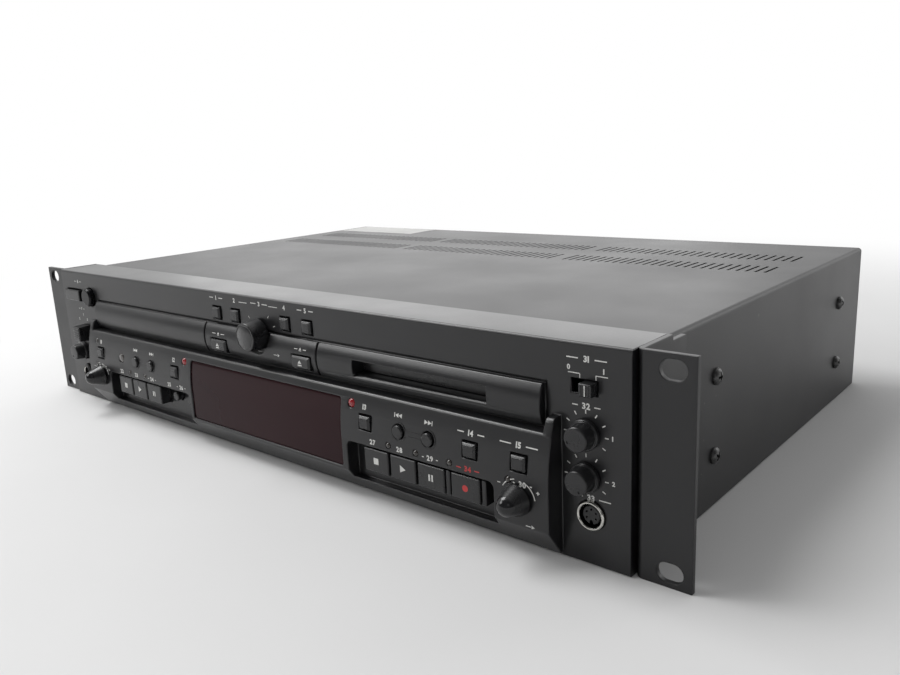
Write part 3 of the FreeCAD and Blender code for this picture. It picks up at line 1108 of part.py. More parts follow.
def build():
    fillSheet()
    makeControls()
    makeFrontPanel()
    makeWindow()
    makeBezel()
    makeShutter()
    makeDrawerFront()
    makeLamps()
    makeEar("rack_ear_left", -1)
    makeEar("rack_ear_right", 1)
    makeCover()
    makeChassis()
    makeScrews()
    makeTray()
    makeGear()
    makeLoader()
    makeTurntable()
    makeCartMechanism()
    makeMainBoard()
    makeTransformer()
    makeFrontBoard()
    makePhonesJack()
    makeKeyboardJack()
    makeBackPanel()
    makeRearJacks()
    makeInlet()
    doc.recompute()


def check():
    """Stops with a plain message if any feature failed or any node has no sound shape."""
    for thing in doc.Objects:
        if "Invalid" in thing.State or "Error" in thing.State:
            raise RuntimeError(f"{thing.Label} failed: {thing.State}")
    for name in nodes:
        shape = doc.getObjectsByLabel(name)[0].Shape
        if shape.isNull() or not shape.isValid() or not shape.Solids:
            raise RuntimeError(f"{name} has no valid solid")


def write():
    os.makedirs("parts", exist_ok=True)
    for name in nodes:
        doc.getObjectsByLabel(name)[0].Shape.exportStep(f"parts/{name}.step")


build()
check()
write()
print(f"{len(nodes)} nodes written")
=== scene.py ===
import json
import math
import random

import bmesh
import bpy
from mathutils import Matrix, Vector


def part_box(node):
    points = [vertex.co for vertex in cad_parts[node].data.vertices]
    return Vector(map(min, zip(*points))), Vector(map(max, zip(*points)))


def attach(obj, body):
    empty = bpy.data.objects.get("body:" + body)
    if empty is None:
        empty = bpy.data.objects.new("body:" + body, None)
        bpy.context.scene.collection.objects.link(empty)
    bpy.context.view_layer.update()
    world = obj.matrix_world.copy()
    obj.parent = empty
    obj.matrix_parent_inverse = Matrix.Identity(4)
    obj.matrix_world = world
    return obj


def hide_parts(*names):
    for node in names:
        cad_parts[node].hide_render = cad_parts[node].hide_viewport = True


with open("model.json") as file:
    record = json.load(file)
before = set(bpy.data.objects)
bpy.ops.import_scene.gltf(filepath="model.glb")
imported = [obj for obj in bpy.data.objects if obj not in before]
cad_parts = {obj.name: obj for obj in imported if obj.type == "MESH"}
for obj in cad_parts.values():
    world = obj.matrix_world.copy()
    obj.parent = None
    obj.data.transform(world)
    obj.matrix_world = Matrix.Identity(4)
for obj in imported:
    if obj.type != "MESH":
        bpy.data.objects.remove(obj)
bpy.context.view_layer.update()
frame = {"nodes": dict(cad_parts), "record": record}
print("frame loaded:", len(frame["nodes"]), "nodes")

mm = 0.001
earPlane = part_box("rack_ear_left")[0][1]


# A place in metres from millimetres, with y counted back from the front of the rack ears.
def at(x, y, z):
    return Vector((x * mm, earPlane + y * mm, z * mm))


# A box as its lowest corner, its highest and its middle.
def boxed(low, high):
    return low, high, [(a + b) / 2 for a, b in zip(low, high)]


# A CAD node's box in those same millimetres.
def reach(node):
    return boxed(*[(x / mm, (y - earPlane) / mm, z / mm) for x, y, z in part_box(node)])


def meshObject(name, mesh):
    thing = bpy.data.objects.new(name, mesh)
    bpy.context.scene.collection.objects.link(thing)
    return thing


def fromBmesh(name, bm):
    bmesh.ops.remove_doubles(bm, verts=bm.verts, dist=1e-7)
    bmesh.ops.recalc_face_normals(bm, faces=bm.faces)
    mesh = bpy.data.meshes.new(name)
    bm.to_mesh(mesh)
    bm.free()
    return meshObject(name, mesh)


# Swaps an object's mesh for its evaluated one and drops the modifiers.
def frozen(thing):
    bpy.context.view_layer.update()
    depsgraph = bpy.context.evaluated_depsgraph_get()
    mesh = bpy.data.meshes.new_from_object(thing.evaluated_get(depsgraph), preserve_all_data_layers=True,
                                           depsgraph=depsgraph)
    thing.modifiers.clear()
    old = thing.data
    thing.data = mesh
    bpy.data.meshes.remove(old)
    return thing


def shaded(thing, degrees=38):
    thing.data.shade_smooth()
    thing.data.set_sharp_from_angle(angle=math.radians(degrees))
    return thing


# Broad flat faces keep their own normal, and the small ones beside them take the turn.
def evened(thing, degrees=50):
    shaded(thing, degrees)
    weigh = thing.modifiers.new("weigh", "WEIGHTED_NORMAL")
    weigh.keep_sharp = True
    return frozen(thing)


def paint(thing, name):
    thing.data.materials.clear()
    thing.data.materials.append(finish[name])
    return thing


def drop(thing):
    mesh = thing.data
    bpy.data.objects.remove(thing)
    bpy.data.meshes.remove(mesh)


def joined(name, things):
    target = things[0]
    with bpy.context.temp_override(active_object=target, object=target, selected_objects=things,
                                   selected_editable_objects=things):
        bpy.ops.object.join()
    target.name = name
    target.data.name = name
    return target


# Every piece rides on a body and may stand for CAD nodes, which it hides.
def settle(piece, body, slotName, *nodes):
    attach(piece, body)
    if nodes:
        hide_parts(*nodes)
    return piece


# A solid turned about an axis from pairs of radius and depth.
# A profile that keeps off the axis closes into a ring.
def lathe(name, profile, centre, along="Y", steps=72):
    spin = {"X": lambda r, a, d: (d, r * math.cos(a), r * math.sin(a)),
            "Y": lambda r, a, d: (r * math.cos(a), d, r * math.sin(a))}[along]
    bm = bmesh.new()
    rings = []
    for radius, depth in profile:
        turns = [2 * math.pi * step / steps for step in range(1 if radius < 1e-6 else steps)]
        spots = [Vector(spin(radius, turn, depth)) * mm for turn in turns]
        rings.append([bm.verts.new(Vector(centre) + spot) for spot in spots])
    pairs = list(zip(rings, rings[1:]))
    if len(rings[0]) > 1 and len(rings[-1]) > 1:
        pairs.append((rings[-1], rings[0]))
    for near, far in pairs:
        for step in range(steps):
            after = (step + 1) % steps
            walk = ((near, step), (near, after), (far, after), (far, step))
            corners = list(dict.fromkeys(ring[spot % len(ring)] for ring, spot in walk))
            if len(corners) > 2:
                bm.faces.new(corners)
    return shaded(fromBmesh(name, bm))


def rod(centre, radius, start, end, steps=48):
    return lathe("rod", [(0, start), (radius, start), (radius, end), (0, end)], centre, steps=steps)


# Radii and depths along an arc that starts flat and turns back: a dome, or a rim round an inner radius.
def arc(wide, deep, steps, inner=0.0, end=90.0):
    turns = [math.radians(end) * step / steps for step in range(steps + 1)]
    return [(inner + wide * math.sin(turn), deep * (1 - math.cos(turn))) for turn in turns]


# A box of a size in millimetres round a centre, with its edges softened.
def plank(name, centre, size, edge=0.0):
    bm = bmesh.new()
    bmesh.ops.create_cube(bm, size=1)
    for vert in bm.verts:
        vert.co = Vector(centre) + Vector([c * s * mm for c, s in zip(vert.co, size)])
    if edge:
        bmesh.ops.bevel(bm, geom=bm.edges[:], offset=edge * mm, segments=2, affect="EDGES", profile=0.5)
    return shaded(fromBmesh(name, bm), 50)


def carve(thing, cutter):
    hollow = thing.modifiers.new("carve", "BOOLEAN")
    hollow.operation = "DIFFERENCE"
    hollow.solver = "EXACT"
    hollow.object = cutter
    frozen(thing)
    drop(cutter)
    return shaded(thing)


# Sets a node's inputs: a socket is linked, a node by its first output in use, anything else is a fixed value.
def fill(tree, node, inputs):
    for key, value in inputs.items():
        if isinstance(value, bpy.types.Node):
            value = next(output for output in value.outputs if output.enabled)
        if isinstance(value, bpy.types.NodeSocket):
            tree.links.new(value, node.inputs[key])
        else:
            node.inputs[key].default_value = value
    return node


def addNode(tree, kind, inputs=None, **settings):
    node = tree.nodes.new(kind)
    for key, value in settings.items():
        setattr(node, key, value)
    return fill(tree, node, inputs or {})


# Copies a source over many spots, each a place and a turn, and returns them as one plain mesh.
def repeated(name, source, spots, coat, size=1.0):
    points = bpy.data.meshes.new(name)
    points.from_pydata([tuple(place) for place, turn in spots], [], [])
    turns = points.attributes.new("turn", "FLOAT_VECTOR", "POINT")
    turns.data.foreach_set("vector", [angle for place, turn in spots for angle in turn])
    holder = meshObject(name, points)
    tree = bpy.data.node_groups.new(name + "Tree", "GeometryNodeTree")
    tree.interface.new_socket("Spots", in_out="INPUT", socket_type="NodeSocketGeometry")
    sourceIn = tree.interface.new_socket("Source", in_out="INPUT", socket_type="NodeSocketObject")
    sizeIn = tree.interface.new_socket("Size", in_out="INPUT", socket_type="NodeSocketFloat")
    tree.interface.new_socket("Copies", in_out="OUTPUT", socket_type="NodeSocketGeometry")
    start = addNode(tree, "NodeGroupInput").outputs
    info = addNode(tree, "GeometryNodeObjectInfo", {"Object": start["Source"]})
    turn = addNode(tree, "GeometryNodeInputNamedAttribute", {"Name": "turn"}, data_type="FLOAT_VECTOR")
    copies = addNode(tree, "GeometryNodeInstanceOnPoints", {
        "Points": start["Spots"], "Instance": info.outputs["Geometry"], "Scale": start["Size"],
        "Rotation": addNode(tree, "FunctionNodeEulerToRotation", {"Euler": turn})})
    solid = addNode(tree, "GeometryNodeRealizeInstances", {"Geometry": copies})
    painted = addNode(tree, "GeometryNodeSetMaterial", {"Geometry": solid, "Material": finish[coat]})
    addNode(tree, "NodeGroupOutput", {"Copies": painted})
    maker = holder.modifiers.new("copies", "NODES")
    maker.node_group = tree
    maker[sourceIn.identifier] = source
    maker[sizeIn.identifier] = size
    holder.update_tag()
    frozen(holder)
    drop(source)
    return paint(holder, coat)


# A lone number is a black with a trace of blue.
def colourOf(value):
    return (value, value, value + 0.001, 1) if isinstance(value, float) else (*value, 1)


def ramped(tree, amount, dark, light, low=0.0, high=1.0):
    node = addNode(tree, "ShaderNodeValToRGB", {"Fac": amount})
    for stop, position, colour in zip(node.color_ramp.elements, (low, high), (dark, light)):
        stop.position = position
        stop.color = colourOf(colour)
    return node


finishLook = {"low": 0.3, "high": 0.7, "patchDetail": 4, "grainDetail": 2, "deep": 0.0001, "coatRough": 0.1,
              "dust": (0.35, 0.34, 0.32, 1), "dustEdge": 0.06}


# A finish: soft patches in the colour, fine grain in the bump, and dust where asked.
def surface(name, dark, light, gloss, patchScale, grainScale, bumpStrength, more):
    material = bpy.data.materials.new(name)
    material.use_nodes = True
    tree = material.node_tree
    coords = addNode(tree, "ShaderNodeTexCoord").outputs["Object"]

    def noise(scale, detail):
        return addNode(tree, "ShaderNodeTexNoise", {"Vector": coords, "Scale": scale, "Detail": detail})

    low, high = finishLook["low"], finishLook["high"]
    patch = noise(patchScale, finishLook["patchDetail"])
    colour = ramped(tree, patch, dark, light, low, high)
    if "dust" in more:
        amount, scale, start = more["dust"]
        sift = addNode(tree, "ShaderNodeMapRange", {
            "Value": noise(scale, finishLook["grainDetail"]), "From Min": start,
            "From Max": start + finishLook["dustEdge"], "To Max": amount})
        colour = addNode(tree, "ShaderNodeMix", {
            "Factor": sift, "A": colour, "B": finishLook["dust"]}, data_type="RGBA")
    rough = addNode(tree, "ShaderNodeMapRange", {
        "Value": patch, "From Min": low, "From Max": high, "To Min": gloss[0], "To Max": gloss[1]})
    bump = addNode(tree, "ShaderNodeBump", {
        "Height": noise(grainScale, finishLook["grainDetail"]), "Strength": bumpStrength,
        "Distance": finishLook["deep"]})
    fill(tree, tree.nodes["Principled BSDF"], {
        "Base Color": colour, "Roughness": rough, "Normal": bump, "Metallic": more.get("metal", 0.0),
        "Specular IOR Level": more.get("shine", 0.5), "Coat Weight": more.get("coat", 0.0),
        "Coat Roughness": finishLook["coatRough"], "Emission Color": (*more.get("glow", (0, 0, 0)), 1),
        "Emission Strength": 1.0 if "glow" in more else 0.0})
    return material


# Dark and light colour, roughness, scale of the patches and of the grain, bump, and what else a finish has.
# Dust is an amount, a scale and the noise level at which it starts.
finishes = {
    "coverPaint": (0.012, 0.017, (0.38, 0.46), 14, 2600, 0.3, {"dust": (0.25, 420, 0.74)}),
    "earPaint": (0.009, 0.013, (0.34, 0.44), 30, 2200, 0.25, {"dust": (0.25, 500, 0.77)}),
    "frontMoulding": (0.009, 0.013, (0.28, 0.34), 22, 3200, 0.22, {"dust": (0.2, 600, 0.77)}),
    "keyMoulding": (0.012, 0.016, (0.24, 0.32), 90, 4200, 0.15, {}),
    "knobMoulding": (0.01, 0.016, (0.24, 0.34), 120, 4000, 0.1, {}),
    # The jog's front face: a lighter grey of the knob plastic, a painted highlight for its lit face.
    "paintedLitKnobFace": (0.03, 0.042, (0.16, 0.24), 120, 4000, 0.05, {}),
    "glossBlack": (0.007, 0.01, (0.12, 0.18), 120, 4000, 0.04, {}),
    "deepBlack": (0.004, 0.006, (0.12, 0.18), 120, 4000, 0.04, {"shine": 0.2}),
    "smokedWindow": ((0.02, 0.006, 0.008), (0.026, 0.008, 0.01), (0.05, 0.09), 12, 400, 0.02,
                     {"shine": 0.12}),
    "redLens": ((0.16, 0.006, 0.01), (0.24, 0.012, 0.016), (0.08, 0.14), 500, 3000, 0.05,
                {"coat": 0.4, "glow": (0.05, 0.001, 0.002)}),
    "smokedLens": ((0.03, 0.025, 0.022), (0.05, 0.045, 0.04), (0.08, 0.16), 500, 3000, 0.05, {"coat": 0.5}),
    "zincSheet": ((0.45, 0.45, 0.44), (0.62, 0.62, 0.6), (0.28, 0.42), 60, 900, 0.1, {"metal": 1.0}),
    "screwBlack": ((0.05, 0.05, 0.05), (0.11, 0.11, 0.11), (0.22, 0.34), 300, 3000, 0.12, {"metal": 0.8}),
    "framePlastic": ((0.07, 0.07, 0.075), (0.1, 0.1, 0.105), (0.4, 0.52), 30, 2600, 0.2, {}),
    "acetal": ((0.6, 0.58, 0.52), (0.7, 0.68, 0.62), (0.3, 0.4), 60, 1800, 0.1, {}),
    "solderMask": ((0.012, 0.06, 0.03), (0.02, 0.09, 0.045), (0.25, 0.4), 90, 700, 0.2, {}),
    "coreVarnish": ((0.1, 0.09, 0.08), (0.17, 0.16, 0.14), (0.35, 0.5), 90, 1400, 0.3, {"metal": 0.5}),
    "windingTape": ((0.5, 0.33, 0.08), (0.6, 0.42, 0.12), (0.3, 0.4), 120, 1200, 0.2, {}),
    "nickelPlate": ((0.5, 0.49, 0.46), (0.68, 0.67, 0.63), (0.16, 0.28), 200, 2600, 0.08, {"metal": 1.0}),
    "socketPlastic": ((0.012, 0.012, 0.012), (0.02, 0.02, 0.02), (0.36, 0.46), 120, 3000, 0.15, {}),
    "insertWhite": ((0.66, 0.66, 0.64), (0.76, 0.76, 0.74), (0.3, 0.4), 200, 2600, 0.08, {}),
    "insertRed": ((0.42, 0.02, 0.02), (0.52, 0.03, 0.03), (0.3, 0.4), 200, 2600, 0.08, {}),
    "printWhite": ((0.58, 0.58, 0.56), (0.68, 0.68, 0.66), (0.45, 0.6), 900, 5000, 0.05, {}),
    "printRed": ((0.42, 0.03, 0.03), (0.55, 0.045, 0.045), (0.45, 0.6), 900, 5000, 0.05, {}),
    "paperWhite": ((0.5, 0.5, 0.49), (0.56, 0.56, 0.55), (0.7, 0.8), 40, 1500, 0.1, {}),
}
finish = {name: surface(name, *look) for name, look in finishes.items()}
print("finishes made:", len(finish))


def coated(*pairs):
    return [paint(thing, name) for thing, name in pairs]


def combined(tree, operation, first, second):
    return addNode(tree, "ShaderNodeMath", {0: first, 1: second}, operation=operation)


# Which rays come from the camera, and which were mirrored or let through.
def rayKinds(tree):
    path = addNode(tree, "ShaderNodeLightPath").outputs
    mirrored = combined(tree, "MAXIMUM", path["Is Glossy Ray"], path["Is Transmission Ray"])
    return path["Is Camera Ray"], mirrored


floorLook = {"half": 7.0, "dark": (0.7, 0.7, 0.7), "light": (0.74, 0.74, 0.74), "grain": 9, "rough": 0.7,
             "fadeFrom": 0.25, "fadeTo": 0.9}


# A pale floor that keeps the shadow near the deck and fades to the white of the background far away.
def makeFloor():
    half = floorLook["half"]
    mesh = bpy.data.meshes.new("floor")
    corners = [(-half, -half, 0), (half, -half, 0), (half, half, 0), (-half, half, 0)]
    mesh.from_pydata(corners, [], [(0, 1, 2, 3)])
    floor = meshObject("floor", mesh)
    pale = bpy.data.materials.new("paleFloor")
    pale.use_nodes = True
    tree = pale.node_tree
    coords = addNode(tree, "ShaderNodeTexCoord").outputs["Object"]
    grain = addNode(tree, "ShaderNodeTexNoise", {"Vector": coords, "Scale": floorLook["grain"]})
    colour = ramped(tree, grain, floorLook["dark"], floorLook["light"])
    shader = fill(tree, tree.nodes["Principled BSDF"], {
        "Base Color": colour, "Roughness": floorLook["rough"]})
    far = addNode(tree, "ShaderNodeVectorMath", {0: coords}, operation="LENGTH")
    fade = addNode(tree, "ShaderNodeMapRange", {
        "Value": far, "From Min": floorLook["fadeFrom"], "From Max": floorLook["fadeTo"]},
        interpolation_type="SMOOTHSTEP")
    seen = combined(tree, "MAXIMUM", *rayKinds(tree))
    blend = addNode(tree, "ShaderNodeMixShader", {
        "Fac": combined(tree, "MULTIPLY", seen, fade), 1: shader, 2: addNode(tree, "ShaderNodeEmission")})
    fill(tree, tree.nodes["Material Output"], {"Surface": blend})
    mesh.materials.append(pale)


room = {"ambient": 0.34, "toward": (-0.45, 0.9, 0.05), "from": -0.45, "to": 0.6, "dim": 0.1, "bright": 1.0}


# The surround: white to the camera, and for mirrored rays white behind and dim on the side of the camera.
def makeRoom():
    world = bpy.data.worlds.new("studio")
    bpy.context.scene.world = world
    world.use_nodes = True
    tree = world.node_tree
    coords = addNode(tree, "ShaderNodeTexCoord").outputs["Generated"]
    toward = Vector(room["toward"]).normalized()
    facing = addNode(tree, "ShaderNodeVectorMath", {0: coords, 1: toward}, operation="DOT_PRODUCT")
    mirror = addNode(tree, "ShaderNodeMapRange", {
        "Value": facing, "From Min": room["from"], "From Max": room["to"], "To Min": room["dim"],
        "To Max": room["bright"]}, interpolation_type="SMOOTHSTEP")
    direct, mirrored = rayKinds(tree)
    seen = addNode(tree, "ShaderNodeMix", {"Factor": mirrored, "A": room["ambient"], "B": mirror})
    level = addNode(tree, "ShaderNodeMix", {"Factor": direct, "A": seen, "B": 1.0})
    fill(tree, tree.nodes["Background"], {"Color": (1, 1, 1, 1), "Strength": level})


lamps = {
    "overhead": {"at": (-0.8, -0.25, 1.35), "aim": (0, 0.02, 0.05), "size": 0.9, "power": 19},
    "backLeft": {"at": (-1.9, 2.3, 1.25), "aim": (0, 0.1, 0.04), "size": 2.6, "power": 14},
    "leftFront": {"at": (-1.5, -1.5, 1.2), "aim": (0, -0.1, 0.04), "size": 0.9, "power": 13},
    "rightFront": {"at": (1.5, -1.6, 1.2), "aim": (0, -0.1, 0.04), "size": 0.9, "power": 1},
    "backRight": {"at": (1.5, 2.3, 1.2), "aim": (0.3, 0.1, 0.0), "size": 1.2, "power": 7},
}


def makeLamps():
    for name, lamp in lamps.items():
        light = bpy.data.lights.new(name, "AREA")
        light.size = lamp["size"]
        light.energy = lamp["power"]
        holder = bpy.data.objects.new(name, light)
        holder.location = lamp["at"]
        aim = Vector(lamp["aim"]) - Vector(lamp["at"])
        holder.rotation_euler = aim.to_track_quat("-Z", "Y").to_euler()
        holder.visible_camera = False
        bpy.context.scene.collection.objects.link(holder)


camera = {"place": (348.904, -248.126, 160.605), "yaw": 41.0085, "pitch": 13.5052, "roll": -2.7406,
          "focal": 32.429, "film": 36.0, "near": 0.02, "far": 50}


def makeCamera():
    lens = bpy.data.cameras.new("camera")
    lens.sensor_width = camera["film"]
    lens.lens = camera["focal"]
    lens.clip_start = camera["near"]
    lens.clip_end = camera["far"]
    holder = bpy.data.objects.new("camera", lens)
    turn = (Matrix.Rotation(math.radians(camera["yaw"]), 4, "Z")
            @ Matrix.Rotation(math.radians(90 - camera["pitch"]), 4, "X")
            @ Matrix.Rotation(math.radians(camera["roll"]), 4, "Z"))
    holder.matrix_world = Matrix.Translation(at(*camera["place"])) @ turn
    bpy.context.scene.collection.objects.link(holder)
    bpy.context.scene.camera = holder


makeFloor()
makeRoom()
makeLamps()
makeCamera()
bpy.context.scene.view_settings.view_transform = "Standard"
print("floor, room, lamps and camera placed")

slotFinish = {
    "black_metal": "coverPaint", "fascia_black": "frontMoulding", "key_black": "keyMoulding",
    "knob_black": "knobMoulding", "window_smoke": "smokedWindow", "lamp_clear": "smokedLens",
    "zinc_steel": "zincSheet", "black_steel": "screwBlack", "grey_plastic": "framePlastic",
    "natural_plastic": "acetal", "circuit_board": "solderMask", "core_steel": "coreVarnish",
    "nickel": "nickelPlate",
}
slotOf = {part["node"]: part["material_slot"] for part in frame["record"]["subparts"]}
bodyOf = {node: body for body, members in frame["record"]["behaviour"]["bodies"].items() for node in members}
for node, thing in frame["nodes"].items():
    paint(thing, slotFinish[slotOf[node]])


softLook = {"angle": 32, "near": 1.0, "tries": 3, "weld": 2e-6, "flat": 1.0, "fold": 1.003, "least": 5e-9}


# Middles of the faces that fold over themselves: their triangles cover more than their outline.
def folded(bm):
    area = {}
    for loops in bm.calc_loop_triangles():
        a, b, c = (loop.vert.co for loop in loops)
        area[loops[0].face] = area.get(loops[0].face, 0) + (b - a).cross(c - a).length / 2
    return [face.calc_center_median() for face in bm.faces
            if area[face] > face.calc_area() * softLook["fold"] + softLook["least"]]


def bends(edge):
    return len(edge.link_faces) == 2 and edge.calc_face_angle(0) > math.radians(softLook["angle"])


topEdge = {"low": 49.7, "high": 50.7, "front": -7.4, "back": -6.4, "round": 1.0, "steps": 4}


# The long edge along the top of the fascia is rounder than the rest.
def roundTop(bm):
    def within(vert):
        y, z = (vert.co.y - earPlane) / mm, vert.co.z / mm
        return topEdge["front"] < y < topEdge["back"] and topEdge["low"] < z < topEdge["high"]

    edges = [edge for edge in bm.edges if bends(edge) and all(within(vert) for vert in edge.verts)]
    bmesh.ops.bevel(bm, geom=edges, offset=topEdge["round"] * mm, segments=topEdge["steps"], affect="EDGES",
                    profile=0.5, clamp_overlap=False)


# A copy of a CAD solid with its edges rounded, up to a depth. An edge whose rounding would fold stays sharp.
def softened(node, width, coat, back=500.0):
    plain = bmesh.new()
    plain.from_mesh(frame["nodes"][node].data)
    bmesh.ops.remove_doubles(plain, verts=plain.verts, dist=softLook["weld"])
    folds = []
    for attempt in range(softLook["tries"] if width else 0):
        bm = plain.copy()
        if node == "front_panel":
            roundTop(bm)
        edges = []
        for edge in bm.edges:
            spot = (edge.verts[0].co + edge.verts[1].co) / 2
            beside = any((spot - fold).length < softLook["near"] * mm for fold in folds)
            if bends(edge) and spot.y < earPlane + back * mm and not beside:
                edges.append(edge)
        bmesh.ops.bevel(bm, geom=edges, offset=width * mm, segments=2, affect="EDGES", profile=0.5,
                        clamp_overlap=False)
        found = folded(bm)
        if not found or attempt == softLook["tries"] - 1:
            break
        folds += found
        bm.free()
    mesh = bpy.data.meshes.new(node + "_shell")
    (bm if width else plain).to_mesh(mesh)
    shell = meshObject(node + "_shell", mesh)
    return evened(paint(shell, coat))


def settleShell(node, shell):
    return settle(shell, bodyOf[node], slotOf[node], node)


# The boxes of a node's separate solids, from left to right.
def islands(node):
    bm = bmesh.new()
    bm.from_mesh(frame["nodes"][node].data)
    bmesh.ops.remove_doubles(bm, verts=bm.verts, dist=softLook["weld"])
    bmesh.ops.dissolve_limit(bm, angle_limit=math.radians(softLook["flat"]), verts=bm.verts, edges=bm.edges)
    left = set(bm.verts)
    boxes = []
    while left:
        edge = [left.pop()]
        group = list(edge)
        while edge:
            near = [other for vert in edge for link in vert.link_edges for other in link.verts]
            edge = [vert for vert in set(near) if vert in left]
            left.difference_update(edge)
            group += edge
        spots = [(v.co.x / mm, (v.co.y - earPlane) / mm, v.co.z / mm) for v in group]
        boxes.append(boxed(tuple(map(min, zip(*spots))), tuple(map(max, zip(*spots)))))
    bm.free()
    return sorted(boxes)


# Faces that a rule picks out get a second material.
def tinted(shell, coat, rule):
    shell.data.materials.append(finish[coat])
    for face in shell.data.polygons:
        x, y, z = face.center / mm
        if rule(x, y - earPlane / mm, z):
            face.material_index = len(shell.data.materials) - 1
    return shell


# Each copied solid's edge softening and finish, and how far back the front panel's edges are softened.
caseShells = {
    "front_panel": (0.5, "frontMoulding", -1.5), "md_slot_bezel": (0.45, "frontMoulding"),
    "rack_ear_left": (0.35, "earPaint"), "rack_ear_right": (0.35, "earPaint"),
    "top_cover": (0.1, "coverPaint"), "rear_panel": (0.2, "coverPaint"), "chassis_base": (0.2, "zincSheet"),
    "display_window": (0.25, "smokedWindow"), "cd_tray_front": (0.45, "frontMoulding"),
    "cd_tray": (0.25, "framePlastic"), "md_shutter": (0.15, "keyMoulding"),
    "md_mechanism": (0.3, "zincSheet"), "cd_turntable": (0.15, "framePlastic"),
    "tray_drive_gear": (0.08, "acetal"), "jog_rotor": (0.1, "acetal"), "cd_pitch_rotor": (0.1, "acetal"),
    "md_pitch_rotor": (0.1, "acetal"), "timer_switch_knob": (0.25, "knobMoulding"),
    "cont_play_slider": (0.2, "knobMoulding"), "power_button": (0.3, "glossBlack"),
}
powerJoin = -187.0    # the power key's bar ends here and its round cap starts
gripShells = {}    # the sliders' grips, kept apart until they have their ridges
for node, (width, coat, *back) in caseShells.items():
    shell = softened(node, width, coat, *back)
    if node == "power_button":
        tinted(shell, "deepBlack", lambda x, y, z: x > powerJoin)
    if coat == "knobMoulding":
        gripShells[node] = shell
    else:
        settleShell(node, shell)
print("shells softened:", len(caseShells))

boardLook = {"frontFace": 8.95, "mainTop": 10.7, "sinkFront": 254.9, "motorLow": 43.1, "motorTop": 60,
             "motorRadius": 13.1, "coreInset": 12.1}


def makeInside():
    discX, discY, discZ = reach("cd_turntable")[2]
    loader = softened("cd_loader_frame", 0.3, "framePlastic")
    tinted(loader, "zincSheet", lambda x, y, z: boardLook["motorLow"] < z < boardLook["motorTop"]
           and math.hypot(x - discX, y - discY) < boardLook["motorRadius"])
    settleShell("cd_loader_frame", loader)
    switches = softened("front_board", 0.0, "solderMask")
    tinted(switches, "socketPlastic", lambda x, y, z: y < boardLook["frontFace"])
    settleShell("front_board", switches)
    board = softened("main_board", 0.1, "solderMask")
    tinted(board, "socketPlastic", lambda x, y, z: z > boardLook["mainTop"])
    tinted(board, "nickelPlate", lambda x, y, z: z > boardLook["mainTop"] and y > boardLook["sinkFront"])
    settleShell("main_board", board)
    low, high, spot = reach("power_transformer")
    core = softened("power_transformer", 0.4, "coreVarnish")
    tinted(core, "windingTape",
           lambda x, y, z: not low[1] + boardLook["coreInset"] <= y <= high[1] - boardLook["coreInset"])
    settleShell("power_transformer", core)


makeInside()
print("inside painted")

# Driving sizes of the front's curved faces.
skins = {"fasciaFace": -11.8, "bulgeStart": 30.0, "bulgeRadius": 80.0, "bandEdge": -3.6, "bandLow": 53.4,
         "bandTop": 70.2, "bandRadius": 16.2, "panelFace": -2.0}


def fasciaSkin(z):
    radius = skins["bulgeRadius"]
    return skins["fasciaFace"] + radius - math.sqrt(radius ** 2 - max(z - skins["bulgeStart"], 0) ** 2)


def bandSkin(z):
    radius, half = skins["bandRadius"], (skins["bandTop"] - skins["bandLow"]) / 2
    centre = skins["bandEdge"] + math.sqrt(radius ** 2 - half ** 2)
    return centre - math.sqrt(radius ** 2 - (z - skins["bandLow"] - half) ** 2)


# Flat shapes in millimetres, each a list of outlines in x and z.
def bar(x, z, wide, high):
    left, right, low, top = x - wide / 2, x + wide / 2, z - high / 2, z + high / 2
    return [[(left, low), (right, low), (right, top), (left, top)]]


def arrow(x, z, size, way=1):
    foot, tip = x - way * size * 0.45, x + way * size * 0.5
    return [[(foot, z - size / 2), (tip, z), (foot, z + size / 2)]]


def dot(x, z, radius, steps=28):
    turns = [2 * math.pi * step / steps for step in range(steps)]
    return [[(x + radius * math.cos(turn), z + radius * math.sin(turn)) for turn in turns]]


def spoke(x, z, inner, outer, degrees, wide):
    along, up = math.cos(math.radians(degrees)), math.sin(math.radians(degrees))
    half = wide / 2
    return [[(x + along * far - up * side, z + up * far + along * side)
             for far, side in ((inner, -half), (outer, -half), (outer, half), (inner, half))]]


def sweep(x, z, radius, thick, start, end, step=5):
    shapes = []
    inner, outer = radius - thick / 2, radius + thick / 2
    count = max(1, round((end - start) / step))
    for index in range(count):
        near, far = [math.radians(start + (end - start) * (index + more) / count) for more in (0, 1)]
        shapes.append([(x + reached * math.cos(turn), z + reached * math.sin(turn))
                       for reached, turn in ((inner, near), (outer, near), (outer, far), (inner, far))])
    return shapes


def ejectSign(x, z, size):
    roof = [(x - size * 0.5, z - size * 0.1), (x + size * 0.5, z - size * 0.1), (x, z + size * 0.5)]
    return [roof] + bar(x, z - size * 0.38, size, size * 0.2)


digitLook = {"high": 2.5, "bold": 0.04, "resolution": 3, "space": 0.12, "clear": 0.7, "clearEach": 0.35,
             "dash": 0.18, "shortest": 0.5}
digitShapes = {}


